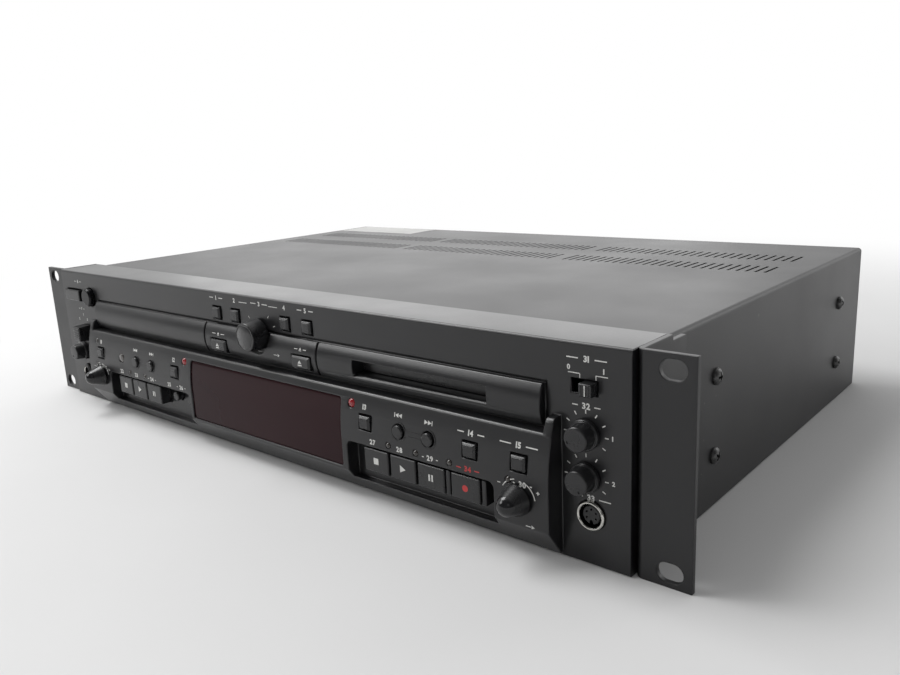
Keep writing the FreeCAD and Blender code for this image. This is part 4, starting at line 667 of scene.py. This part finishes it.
# A digit's outlines at a height of one, starting at x = 0, with its width.
def digitOutlines(digit):
    if digit not in digitShapes:
        curve = bpy.data.curves.new("digit", "FONT")
        curve.body = digit
        curve.offset = digitLook["bold"]
        curve.resolution_u = digitLook["resolution"]
        writer = bpy.data.objects.new("digit", curve)
        bpy.context.scene.collection.objects.link(writer)
        bpy.context.view_layer.update()
        mesh = bpy.data.meshes.new_from_object(writer.evaluated_get(bpy.context.evaluated_depsgraph_get()))
        bpy.data.objects.remove(writer)
        bpy.data.curves.remove(curve)
        places = [(v.co.x, v.co.y) for v in mesh.vertices]
        left, right = min(x for x, z in places), max(x for x, z in places)
        low, top = min(z for x, z in places), max(z for x, z in places)
        tall = top - low
        outlines = [[((places[i][0] - left) / tall, (places[i][1] - low) / tall) for i in face.vertices]
                    for face in mesh.polygons]
        bpy.data.meshes.remove(mesh)
        digitShapes[digit] = (outlines, (right - left) / tall)
    return digitShapes[digit]


def number(value, x, z, high):
    parts = [digitOutlines(digit) for digit in str(value)]
    wide = sum(width for shapes, width in parts) + digitLook["space"] * (len(parts) - 1)
    start = x - wide * high / 2
    shapes = []
    for outlines, width in parts:
        for outline in outlines:
            shapes.append([(start + px * high, z - high / 2 + pz * high) for px, pz in outline])
        start += (width + digitLook["space"]) * high
    return shapes


# A number between two short dashes, as wide as a word would be.
def dashed(value, x, z, wide, high=digitLook["high"]):
    inner = high * (digitLook["clear"] + digitLook["clearEach"] * len(str(value)))
    dash = wide / 2 - inner
    shapes = number(value, x, z, high)
    if dash > digitLook["shortest"]:
        for side in (-1, 1):
            shapes += bar(x + side * (inner + dash / 2), z, dash, high * digitLook["dash"])
    return shapes


# Lays flat shapes on a skin as a closed thin layer, its face a hair proud and its back sunk.
def printed(name, shapes, skin, coat, proud=0.035, sunk=0.03, step=0.6):
    flat = bmesh.new()
    for shape in shapes:
        flat.faces.new([flat.verts.new((x, 0, z)) for x, z in shape])
    bmesh.ops.remove_doubles(flat, verts=flat.verts, dist=1e-4)
    heights = [vert.co.z for vert in flat.verts]
    for index in range(int((max(heights) - min(heights)) / step)):
        bmesh.ops.bisect_plane(flat, geom=flat.verts[:] + flat.edges[:] + flat.faces[:], dist=1e-5,
                               plane_co=(0, 0, min(heights) + (index + 0.5) * step), plane_no=(0, 0, 1))
    flat.verts.index_update()
    solid = bmesh.new()
    fronts = [solid.verts.new(at(v.co.x, skin(v.co.z) - proud, v.co.z)) for v in flat.verts]
    backs = [solid.verts.new(at(v.co.x, skin(v.co.z) + sunk, v.co.z)) for v in flat.verts]
    for face in flat.faces:
        loop = [vert.index for vert in face.verts]
        solid.faces.new([fronts[i] for i in loop])
        solid.faces.new([backs[i] for i in reversed(loop)])
    for edge in flat.edges:
        if len(edge.link_faces) == 1:
            a, b = [vert.index for vert in edge.verts]
            solid.faces.new([fronts[a], fronts[b], backs[b], backs[a]])
    flat.free()
    return paint(fromBmesh(name, solid), coat)


# Keys: the copied solid with its sign on it.
keyLook = {"edge": 0.18, "signHigh": 3.0, "ejectHigh": 2.9, "playHigh": 3.45, "pauseOff": 0.84,
           "pauseWide": 0.9}


def keySign(node, x, z):
    high = keyLook["signHigh"]
    if node in ("open_close_button", "eject_button"):
        return ejectSign(x, z, keyLook["ejectHigh"])
    what = node.split("_")[1]
    if what == "stop":
        return bar(x, z, high, high)
    if what == "play":
        return arrow(x, z, keyLook["playHigh"])
    if what == "pause":
        off, wide = keyLook["pauseOff"], keyLook["pauseWide"]
        return bar(x - off, z, wide, high) + bar(x + off, z, wide, high)
    if what == "record":
        return dot(x, z, high / 2)
    return []


def makeKeys():
    keys = [node for node in frame["nodes"] if node.endswith("_button") and node != "power_button"]
    for node in keys:
        low, high, (x, y, z) = reach(node)
        shell = softened(node, keyLook["edge"], "keyMoulding")
        sign = keySign(node, x, z)
        if sign:
            tone = "printRed" if node == "md_record_button" else "printWhite"
            shell = joined(node + "_shell", [shell, printed(node + "_sign", sign, lambda z: low[1], tone)])
        settleShell(node, shell)
    print("keys made:", len(keys))


makeKeys()

# The cap radius and the depth after it mark the jog's front face, which is painted lighter as a painted
# highlight.
jog = {"taper": 0.7, "crown": 0.5, "groove": 6.3, "grooveHalf": 0.25, "grooveDeep": 0.15, "cap": 6.0,
       "litFaceDeep": 0.1, "foot": 9.4, "shaft": 3.0, "bevel": 0.3}
pitch = {"dome": 4.55, "domeDeep": 3.4, "glossDeep": 3.2, "foot": 10.2, "shaft": 3.0, "bevel": 0.3}
level = {"taper": 0.4, "crown": 0.7, "radius": 5.3, "cove": 0.15, "skirtDeep": 1.8, "skirtBevel": 0.25,
         "foot": 7.5, "shaft": 3.0, "dimple": 3.3, "dimpleRadius": 0.55, "dimpleDeep": 0.3}
levelDimples = {"phones_level_knob": 235, "input_left_knob": 205, "input_right_knob": 300}


# A knob turned round its shaft: a profile for its radius, then the foot and the shaft behind it.
def turnedKnob(node, look, profile):
    low, high, (x, y, z) = reach(node)
    deep = high[1] - low[1]
    stem = [(look["shaft"], look["foot"]), (look["shaft"], deep), (0, deep)]
    knob = lathe(node + "_turned", profile((high[0] - low[0]) / 2) + stem, at(x, low[1], z), steps=96)
    return knob, (x, low[1], z)


def footed(radius, look):
    return [(radius, look["foot"] - look["bevel"]), (radius - look["bevel"], look["foot"])]


def makeJog():
    near, far = jog["groove"] - jog["grooveHalf"], jog["groove"] + jog["grooveHalf"]
    face = [(0, 0), (near, 0), (jog["groove"], jog["grooveDeep"]), (far, 0)]
    knob, (x, y, z) = turnedKnob("jog_knob", jog, lambda radius: face + arc(
        jog["crown"], jog["crown"], 6, radius - jog["taper"] - jog["crown"]) + footed(radius, jog))
    # The front face is painted a lighter grey than the sides: a painted highlight standing in for the lit
    # face.
    tinted(paint(knob, "knobMoulding"), "paintedLitKnobFace",
           lambda px, py, pz: math.hypot(px - x, pz - z) < jog["cap"] and py < y + jog["litFaceDeep"])
    settleShell("jog_knob", knob)


def makePitchKnobs():
    end = math.degrees(math.acos(1 - pitch["domeDeep"] / pitch["dome"]))
    dome = arc(pitch["dome"], pitch["dome"], 12, end=end)
    for node in ("cd_pitch_knob", "md_pitch_knob"):
        knob, (x, y, z) = turnedKnob(node, pitch, lambda radius: dome + footed(radius, pitch))
        tinted(paint(knob, "knobMoulding"), "glossBlack", lambda px, py, pz: py < y + pitch["glossDeep"])
        settleShell(node, knob)


def makeLevelKnobs():
    rim, crown, cove, bevel = (level[key] for key in ("radius", "crown", "cove", "skirtBevel"))
    step = level["foot"] - level["skirtDeep"]
    cap = [(0, 0)] + arc(crown, crown, 6, rim - level["taper"] - crown)
    cap += [(rim, step - cove), (rim + cove, step)]
    for node, degrees in levelDimples.items():
        knob, (x, y, z) = turnedKnob(node, level, lambda radius: cap + [
            (radius - bevel, step), (radius, step + bevel), (radius, level["foot"])])
        turn = math.radians(degrees)
        spot = at(x + level["dimple"] * math.cos(turn), y, z + level["dimple"] * math.sin(turn))
        carve(knob, rod(spot, level["dimpleRadius"], -1, level["dimpleDeep"], 24))
        settleShell(node, paint(knob, "knobMoulding"))


makeJog()
makePitchKnobs()
makeLevelKnobs()
print("knobs turned")

# Each slider's ridges: how many, their step across or up, and their sizes.
sliderLook = {
    "timer_switch_knob": {"ridges": 4, "step": (0, 1.7), "wide": 6.6, "high": 0.5, "proud": 0.25,
                          "edge": 0.1},
    "cont_play_slider": {"ridges": 4, "step": (1.0, 0), "wide": 0.4, "high": 4.0, "proud": 0.2,
                         "edge": 0.08, "line": 0.55},
}


def makeSliders():
    for node, look in sliderLook.items():
        low, high, (x, y, z) = reach(node)
        parts = [gripShells[node]]
        if "line" in look:
            line = bar(x, z, look["line"], look["high"])
            parts.append(printed("slider_line", line, lambda z: low[1], "printWhite"))
        ridge = plank("ridge", Vector(), (look["wide"], 2 * look["proud"], look["high"]), look["edge"])
        across, up = look["step"]
        rows = [row - (look["ridges"] - 1) / 2 for row in range(look["ridges"])]
        spots = [(at(x + row * across, low[1], z + row * up), (0, 0, 0)) for row in rows]
        parts.append(repeated("slider_ridges", ridge, spots, "knobMoulding"))
        settleShell(node, joined(node + "_shell", parts))


makeSliders()
print("sliders ridged")

lensLook = {"litAbove": 45.0, "litFrom": -100.0, "crown": 1.1, "wide": 2.5, "wideCrown": 0.6}


# Domed lenses: the two at the top beside the window glow red, the others are smoked.
def makeLenses():
    lenses = []
    for low, high, (x, y, z) in islands("panel_lamps"):
        radius, deep = (high[0] - low[0]) / 2, high[1] - low[1]
        lit = z > lensLook["litAbove"] and x > lensLook["litFrom"]
        dome = arc(radius, lensLook["wideCrown" if radius > lensLook["wide"] else "crown"], 5)
        lens = lathe("lens", dome + [(radius, deep), (0, deep)], at(x, low[1], z), steps=36)
        lenses.append(paint(lens, "redLens" if lit else "smokedLens"))
    settle(joined("lamp_lenses", lenses), "case", "lamp_clear", "panel_lamps")


makeLenses()
print("lamp lenses domed")

screwLook = {"radius": 3.8, "high": 2.5, "crown": 1.875, "shank": 1.5, "long": 9.0, "slotWide": 1.0,
             "slotLong": 4.2, "slotDeep": 1.3}
screwSeed = 11


# A pan-head screw that lies along X, with its cross recess at the origin.
def screwSource():
    radius, high, crown, shank, long, wide, across, deep = screwLook.values()
    screw = lathe("screw", arc(radius, crown, 5) + [(radius, high), (shank, high), (shank, long), (0, long)],
                  Vector(), "X", 32)
    for size in ((2 * deep, across, wide), (2 * deep, wide, across)):
        carve(screw, plank("recess", Vector(), size))
    return screw


def makeCaseScrews():
    dice = random.Random(screwSeed)
    spots = []
    for low, high, (x, y, z) in islands("case_screws"):
        turn = dice.uniform(0, math.pi)
        place, facing = (low[0], 0) if x < 0 else (high[0], math.pi)
        spots.append((at(place, y, z), (turn, 0, facing)))
    screws = repeated("case_screw_heads", screwSource(), spots, "screwBlack")
    settle(shaded(screws), "case", "black_steel", "case_screws")
    print("case screws:", len(spots))


makeCaseScrews()

phones = {"bore": 3.2, "boreRound": 0.5, "wall": 0.4, "sleeve": 4.6, "sleeveBack": 2.0, "nut": 5.8,
          "nutDeep": 1.8, "nutCone": (0.7, 0.2, 0.3, 0.8), "overlap": 0.1, "plating": 0.3, "boreStop": 2.5,
          "bodyWide": 16, "bodyHigh": 14, "bodyFront": 1.0}
keyboard = {"ring": 5.9, "well": 4.8, "wall": 0.4, "lip": 0.3, "core": 3.8, "coreDeep": 1.2, "wellDeep": 6.0,
            "shellBack": 2.0, "bottomRim": 0.2, "pinRadius": 0.45, "pinRing": 2.3, "pinDeep": 4, "pins": 6,
            "key": (1.6, 4, 1.4), "keyIn": 0.7, "bodyWide": 14, "bodyHigh": 13, "bodyFront": 1.0,
            "hollow": (0.6, 2.6)}


# The block of a front socket behind the panel, hollowed by a round bore.
def socketBlock(look, x, z, back, radius, boreStart, boreEnd):
    front = look["bodyFront"]
    size = (look["bodyWide"], back - front, look["bodyHigh"])
    block = plank("socket_block", at(x, (front + back) / 2, z), size, 0.4)
    return carve(block, rod(at(x, 0, z), radius, boreStart, boreEnd))


def makePhonesJack():
    low, high, (x, y, z) = reach("phones_jack")
    nose, face, nutFace = low[1], skins["panelFace"], skins["panelFace"] - phones["nutDeep"]
    bore, rim, nutRim, wall = (phones[key] for key in ("bore", "sleeve", "nut", "wall"))
    sleeve = lathe("phones_sleeve", [
        (bore, nose + phones["boreRound"]), (bore + wall, nose), (rim - wall, nose), (rim, nose + wall),
        (rim, phones["sleeveBack"]), (bore, phones["sleeveBack"])], at(x, 0, z))
    flat, slope, start, end = phones["nutCone"]
    inner = rim - phones["overlap"]
    nut = lathe("phones_nut", [
        (inner, nutFace), (nutRim - flat, nutFace), (nutRim - slope, nutFace + start),
        (nutRim, nutFace + end), (nutRim, face), (inner, face)], at(x, 0, z))
    block = socketBlock(phones, x, z, high[1], bore, phones["boreRound"], high[1] - phones["boreStop"])
    parts = coated(*((thing, "socketPlastic") for thing in (sleeve, nut, block)))
    tinted(sleeve, "nickelPlate", lambda px, py, pz: py < nose + phones["plating"]
           and math.hypot(px - x, pz - z) < bore + wall)
    settle(joined("phones_socket_parts", parts), "case", "nickel", "phones_jack")


def makeKeyboardJack():
    low, high, (x, y, z) = reach("keyboard_jack")
    nose, lip, wellDeep = low[1], keyboard["lip"], keyboard["wellDeep"]
    ring, well, core, wall = (keyboard[key] for key in ("ring", "well", "core", "wall"))
    shell = lathe("keyboard_shell", [
        (well, nose + lip), (well + lip, nose), (ring - wall, nose), (ring, nose + wall),
        (ring, keyboard["shellBack"]), (well, keyboard["shellBack"])], at(x, 0, z))
    plug = lathe("keyboard_core", [(0, 0), (core - lip, 0), (core, lip), (core, wellDeep), (0, wellDeep)],
                 at(x, nose + keyboard["coreDeep"], z))
    for pin in range(keyboard["pins"]):
        turn = 2 * math.pi * (pin + 0.5) / keyboard["pins"]
        spot = at(x + keyboard["pinRing"] * math.cos(turn), nose, z + keyboard["pinRing"] * math.sin(turn))
        carve(plug, rod(spot, keyboard["pinRadius"], 0, keyboard["pinDeep"], 16))
    slotSpot = at(x, nose + keyboard["key"][1] / 2, z - core + keyboard["keyIn"])
    carve(plug, plank("key_slot", slotSpot, keyboard["key"]))
    bottom = rod(at(x, nose + wellDeep, z), well + keyboard["bottomRim"], 0, 1, 72)
    block = socketBlock(keyboard, x, z, high[1], well, *keyboard["hollow"])
    parts = coated((shell, "nickelPlate"), *((thing, "socketPlastic") for thing in (plug, bottom, block)))
    settle(joined("keyboard_socket_parts", parts), "case", "nickel", "keyboard_jack")


makePhonesJack()
makeKeyboardJack()
print("front sockets made")

rear = {"plateBack": 291.3, "blockBack": 290.1, "controlWide": 20, "opticalWide": 10.5, "upperRow": 32}
phono = {"barrel": 4.2, "insert": 3.0, "bore": 1.7, "collar": 4.9, "collarOut": (0.02, 0.5), "wall": 0.4,
         "root": -1.6, "insertIn": 0.2, "overlap": 0.1}
optical = {"well": (6, 4, 6), "flap": (5.9, 0.5, 5.9), "flapIn": 0.9}
control = {"pins": 8, "step": 2.75, "row": 2.8, "pin": 0.5, "pinEnds": (-0.04, 0.6), "wellDeep": 4,
           "coreIn": 1.4, "core": 3, "wall": 0.6, "sideRoom": 13, "topRoom": 3, "flange": 1.0, "post": 2.2,
           "postBore": 0.9, "postFoot": 0.9, "postLong": 4.6, "postOut": 0.42}


def phonoSocket(low, high, x, y, z):
    spot, end = at(x, rear["plateBack"], z), high[1] - rear["plateBack"]
    rim, inner, bore, collar, (near, far), wall, root, sunk, overlap = phono.values()
    barrel = lathe("phono_barrel", [
        (inner, end), (rim - wall, end), (rim, end - wall), (rim, far), (collar, far), (collar, near),
        (rim, near), (rim, root), (inner, root)], spot, steps=48)
    front, back, outer = root + sunk, end - sunk, inner + overlap
    insert = lathe("phono_insert", [
        (bore, back), (outer, back), (outer, front), (bore, front)], spot, steps=36)
    block = plank("phono_block", at(x, (low[1] + rear["blockBack"]) / 2, z),
                  (high[0] - low[0], rear["blockBack"] - low[1], high[2] - low[2]), 0.3)
    tone = "insertWhite" if z > rear["upperRow"] else "insertRed"
    return coated((barrel, "nickelPlate"), (insert, tone), (block, "socketPlastic"))


def opticalPort(low, high, x, y, z):
    port = plank("optical_port", at(x, y, z), [b - a for a, b in zip(low, high)], 0.3)
    carve(port, plank("optical_well", at(x, high[1], z), optical["well"]))
    flap = plank("optical_flap", at(x, high[1] - optical["flapIn"], z), optical["flap"], 0.15)
    return coated((port, "socketPlastic"), (flap, "framePlastic"))


def controlPort(low, high, x, y, z):
    wide, deep, tall = [b - a for a, b in zip(low, high)]
    plate, floor, still = rear["plateBack"], high[1] - control["coreIn"], (0, 0, 0)
    shellWide, shellHigh = wide - control["sideRoom"], tall - control["topRoom"]
    wellWide, wellHigh = shellWide - 2 * control["wall"], shellHigh - 2 * control["wall"]
    thick, coreDeep = control["flange"], control["core"]
    flange = plank("control_flange", at(x, plate + thick / 2, z), (wide, thick, tall), 0.3)
    shell = plank("control_shell", at(x, y, z), (shellWide, deep, shellHigh), 0.6)
    carve(shell, plank("control_well", at(x, high[1], z), (wellWide, 2 * control["wellDeep"], wellHigh), 0.4))
    core = plank("control_core", at(x, floor - coreDeep / 2, z), (wellWide, coreDeep, wellHigh), 0.3)
    pin = rod(Vector(), control["pin"], *control["pinEnds"], 12)
    holes = [(at(x + (spot - (count - 1) / 2) * control["step"], floor, z + side * control["row"] / 2), still)
             for side, count in ((1, control["pins"]), (-1, control["pins"] - 1)) for spot in range(count)]
    pins = repeated("control_pins", pin, holes, "nickelPlate")
    post = lathe("post", [(control["postBore"], control["postLong"]), (control["post"], control["postLong"]),
                          (control["post"], 0), (control["postBore"], 0)], Vector(), steps=6)
    foot = plate + control["postFoot"]
    ends = [(at(x + side * wide * control["postOut"], foot, z), still) for side in (-1, 1)]
    posts = repeated("control_posts", post, ends, "nickelPlate")
    return coated((flange, "nickelPlate"), (shell, "nickelPlate"), (core, "socketPlastic")) + [pins, posts]


def makeRearSockets():
    parts = []
    for low, high, spot in islands("rear_jacks"):
        wide = high[0] - low[0]
        make = controlPort if wide > rear["controlWide"] else phonoSocket
        if wide < rear["opticalWide"]:
            make = opticalPort
        parts += make(low, high, *spot)
    settle(joined("rear_sockets", parts), "case", "nickel", "rear_jacks")


inlet = {"edge": 0.3, "bladeFront": 4.1, "bladeBack": 5.99, "halfWide": 8.2, "halfHigh": 4.2}


def makeInlet():
    low, high, (x, y, z) = reach("ac_inlet")
    front, back = low[1] + inlet["bladeFront"], rear["plateBack"] - inlet["bladeBack"]
    shell = softened("ac_inlet", inlet["edge"], "socketPlastic")
    tinted(shell, "nickelPlate", lambda px, py, pz: front < py <= back
           and abs(px - x) < inlet["halfWide"] and abs(pz - z) < inlet["halfHigh"])
    settleShell("ac_inlet", shell)


rearScrews = {"size": 0.8, "rows": (8.5, 79), "columns": (-206, -70, 70, 206), "inletRow": 30,
              "inletColumns": (-195.9, -156.1), "inletFlange": 2.4}


def makeRearScrews():
    dice = random.Random(screwSeed)
    top = rear["plateBack"] + screwLook["high"] * rearScrews["size"]
    places = [at(x, top, z) for x in rearScrews["columns"] for z in rearScrews["rows"]]
    flange = top + rearScrews["inletFlange"]
    places += [at(x, flange, rearScrews["inletRow"]) for x in rearScrews["inletColumns"]]
    spots = [(place, (dice.uniform(0, math.pi), 0, -math.pi / 2)) for place in places]
    screws = repeated("rear_screw_heads", screwSource(), spots, "screwBlack", rearScrews["size"])
    settle(shaded(screws), "case", "black_steel")


makeRearSockets()
makeInlet()
makeRearScrews()
print("back of the deck dressed")

labelLook = {"left": -213, "right": -127, "front": 254, "back": 287, "thick": 0.12}


def makeCoverLabel():
    left, right, front, back, thick = labelLook.values()
    spot = at((left + right) / 2, (front + back) / 2, reach("top_cover")[1][2] + thick / 2)
    label = plank("cover_label", spot, (right - left, back - front, thick))
    settle(paint(label, "paperWhite"), "case", "black_metal")


makeCoverLabel()

# The marks by the face they lie on. Numbers: value, x, z, width with their dashes, and a height if unusual.
# Signs: x, z and size. Bars: x, z, width and height.
frontMarks = {
    "fascia": {
        "numbers": [
            (11, -156.5, 46, 5), (12, -70.5, 46, 5), (13, 88.6, 46, 5), (14, 150.6, 46, 14),
            (15, 174.3, 46, 18), (21, -155.2, 30.7, 9), (22, -130.9, 30.7, 7), (23, -113.4, 30.7, 7),
            (24, -95.3, 30.7, 9), (25, -76, 30.7, 6), (26, -63.3, 30.7, 9), (27, 94.1, 30.7, 7),
            (28, 110.8, 30.7, 7), (29, 128.8, 30.7, 9), (30, 176.8, 30.7, 9)],
        "arrows": [(181.4, 13.9, 1.6)],
        "bars": [(179.2, 13.9, 2.4, 0.35)],
    },
    "record": {"numbers": [(34, 149.5, 30.7, 12)]},
    "band": {
        "ejects": [(-29, 65.4, 1.8), (40.3, 65.6, 1.8)],
        "arrows": [(23.2, 60.2, 1.6)],
        "bars": [(-33, 65.4, 3.2, 0.35), (-25, 65.4, 3.2, 0.35), (37, 65.6, 2.4, 0.35),
                 (43.6, 65.6, 2.4, 0.35), (20.6, 60.2, 2.6, 0.35)],
    },
    "panel": {
        "numbers": [
            (1, -32.8, 84.4, 12), (2, -16.2, 84.4, 3), (3, 5.4, 84.4, 14), (4, 25.9, 84.4, 4),
            (5, 42.2, 84.4, 12), (31, 199.8, 82, 17), (0, 192.2, 78.2, 0, 2.1), (1, 207, 78.2, 0, 2.1),
            (32, 199.6, 64, 12), (1, 210.6, 53.4, 0, 1.9), (2, 211, 35.9, 0, 1.9), (33, 201.4, 27.9, 17),
            (6, -194.8, 81.4, 9), (7, -194.7, 62.8, 8, 1.9), (1, -193.6, 58.9, 0, 1.7),
            (2, -199.9, 55.5, 0, 1.7), (3, -188.9, 55.8, 0, 1.7), (8, -198, 43.6, 8, 1.9)],
        "bars": [(-8.4, 83.9, 7, 0.35), (17, 83.9, 7, 0.35), (194.4, 76.2, 5, 0.35), (206.2, 76.2, 5, 0.35),
                 (197, 75.3, 0.35, 1.6), (203.8, 75.3, 0.35, 1.6)],
    },
}
skipMarks = {"z": 46, "size": 2.0, "bar": 2.4, "thick": 0.4,
             "places": ((-113.4, -1), (-95.3, 1), (110.2, -1), (127.3, 1))}
pitchMarks = {"places": (-157.5, 174.4), "z": 24, "radius": 8.3, "thick": 0.4, "long": 1.5, "stub": 0.56,
              "arcs": ((100, 150), (10, 60)), "minus": (10.4, 150, ()), "plus": (10.8, 27, (0.48, -0.48))}
lampTicks = {"places": ((-4, 76.6, 138), (12.4, 78.3, 52), (16.6, 73.7, 23)), "half": 0.8, "wide": 0.4}
levelTicks = {"places": ((199.4, 53.1), (199.4, 35.9), (-199.0, 33.1)), "inner": 8.05, "outer": 9.55,
              "wide": 0.45, "turns": range(-30, 211, 30)}


def marksOn(face):
    shapes = []
    for kind, draw in (("numbers", dashed), ("arrows", arrow), ("ejects", ejectSign), ("bars", bar)):
        for row in frontMarks[face].get(kind, ()):
            shapes += draw(*row)
    return shapes


def skipSigns():
    z, size, off, thick, places = skipMarks.values()
    shapes = []
    for x, way in places:
        shapes += arrow(x - size / 2, z, size, way) + arrow(x + size / 2, z, size, way)
        shapes += bar(x + way * off, z, thick, size)
    return shapes


def pitchSigns():
    z, radius, thick, long = (pitchMarks[key] for key in ("z", "radius", "thick", "long"))
    shapes = []
    for x in pitchMarks["places"]:
        for start, end in pitchMarks["arcs"]:
            shapes += sweep(x, z, radius, thick, start, end)
        for far, degrees, stubs in (pitchMarks["minus"], pitchMarks["plus"]):
            turn = math.radians(degrees)
            across, up = x + far * math.cos(turn), z + far * math.sin(turn)
            shapes += bar(across, up, long, thick)
            for off in stubs:
                shapes += bar(across, up + off, thick, pitchMarks["stub"])
    return shapes


def ticks():
    shapes = []
    for x, z, degrees in lampTicks["places"]:
        shapes += spoke(x, z, -lampTicks["half"], lampTicks["half"], degrees, lampTicks["wide"])
    for x, z in levelTicks["places"]:
        for degrees in levelTicks["turns"]:
            shapes += spoke(x, z, levelTicks["inner"], levelTicks["outer"], degrees, levelTicks["wide"])
    return shapes


def makeFrontPrint():
    for name, shapes, skin, tone in (
            ("fascia_print", marksOn("fascia") + skipSigns() + pitchSigns(), fasciaSkin, "printWhite"),
            ("record_print", marksOn("record"), fasciaSkin, "printRed"),
            ("band_print", marksOn("band"), bandSkin, "printWhite"),
            ("panel_print", marksOn("panel") + ticks(), lambda z: skins["panelFace"], "printWhite")):
        settle(printed(name, shapes, skin, tone), "case", "fascia_black")


skipRidge = {"z": 38.9, "radius": 4.1, "thick": 0.5, "half": 8.65, "spread": 1.1, "proud": 0.22}
ridgePlaces = {"cd_skip_ridge": -104.1, "md_skip_ridge": 119.1}


# A raised line round each pair of round keys, like a bone.
def makeSkipRidges():
    z, radius, thick, half, spread, proud = skipRidge.values()
    gap = math.asin(spread / radius)
    long, turned = 2 * (half - radius * math.cos(gap)), math.degrees(gap)
    for name, x in ridgePlaces.items():
        shapes = sweep(x - half, z, radius, thick, turned, 360 - turned)
        shapes += sweep(x + half, z, radius, thick, 180 + turned, 540 - turned)
        shapes += bar(x, z + spread, long, thick) + bar(x, z - spread, long, thick)
        settle(printed(name, shapes, fasciaSkin, "frontMoulding", proud=proud), "case", "fascia_black")


makeFrontPrint()
makeSkipRidges()
print("numbers, ticks and ridges laid on the front")
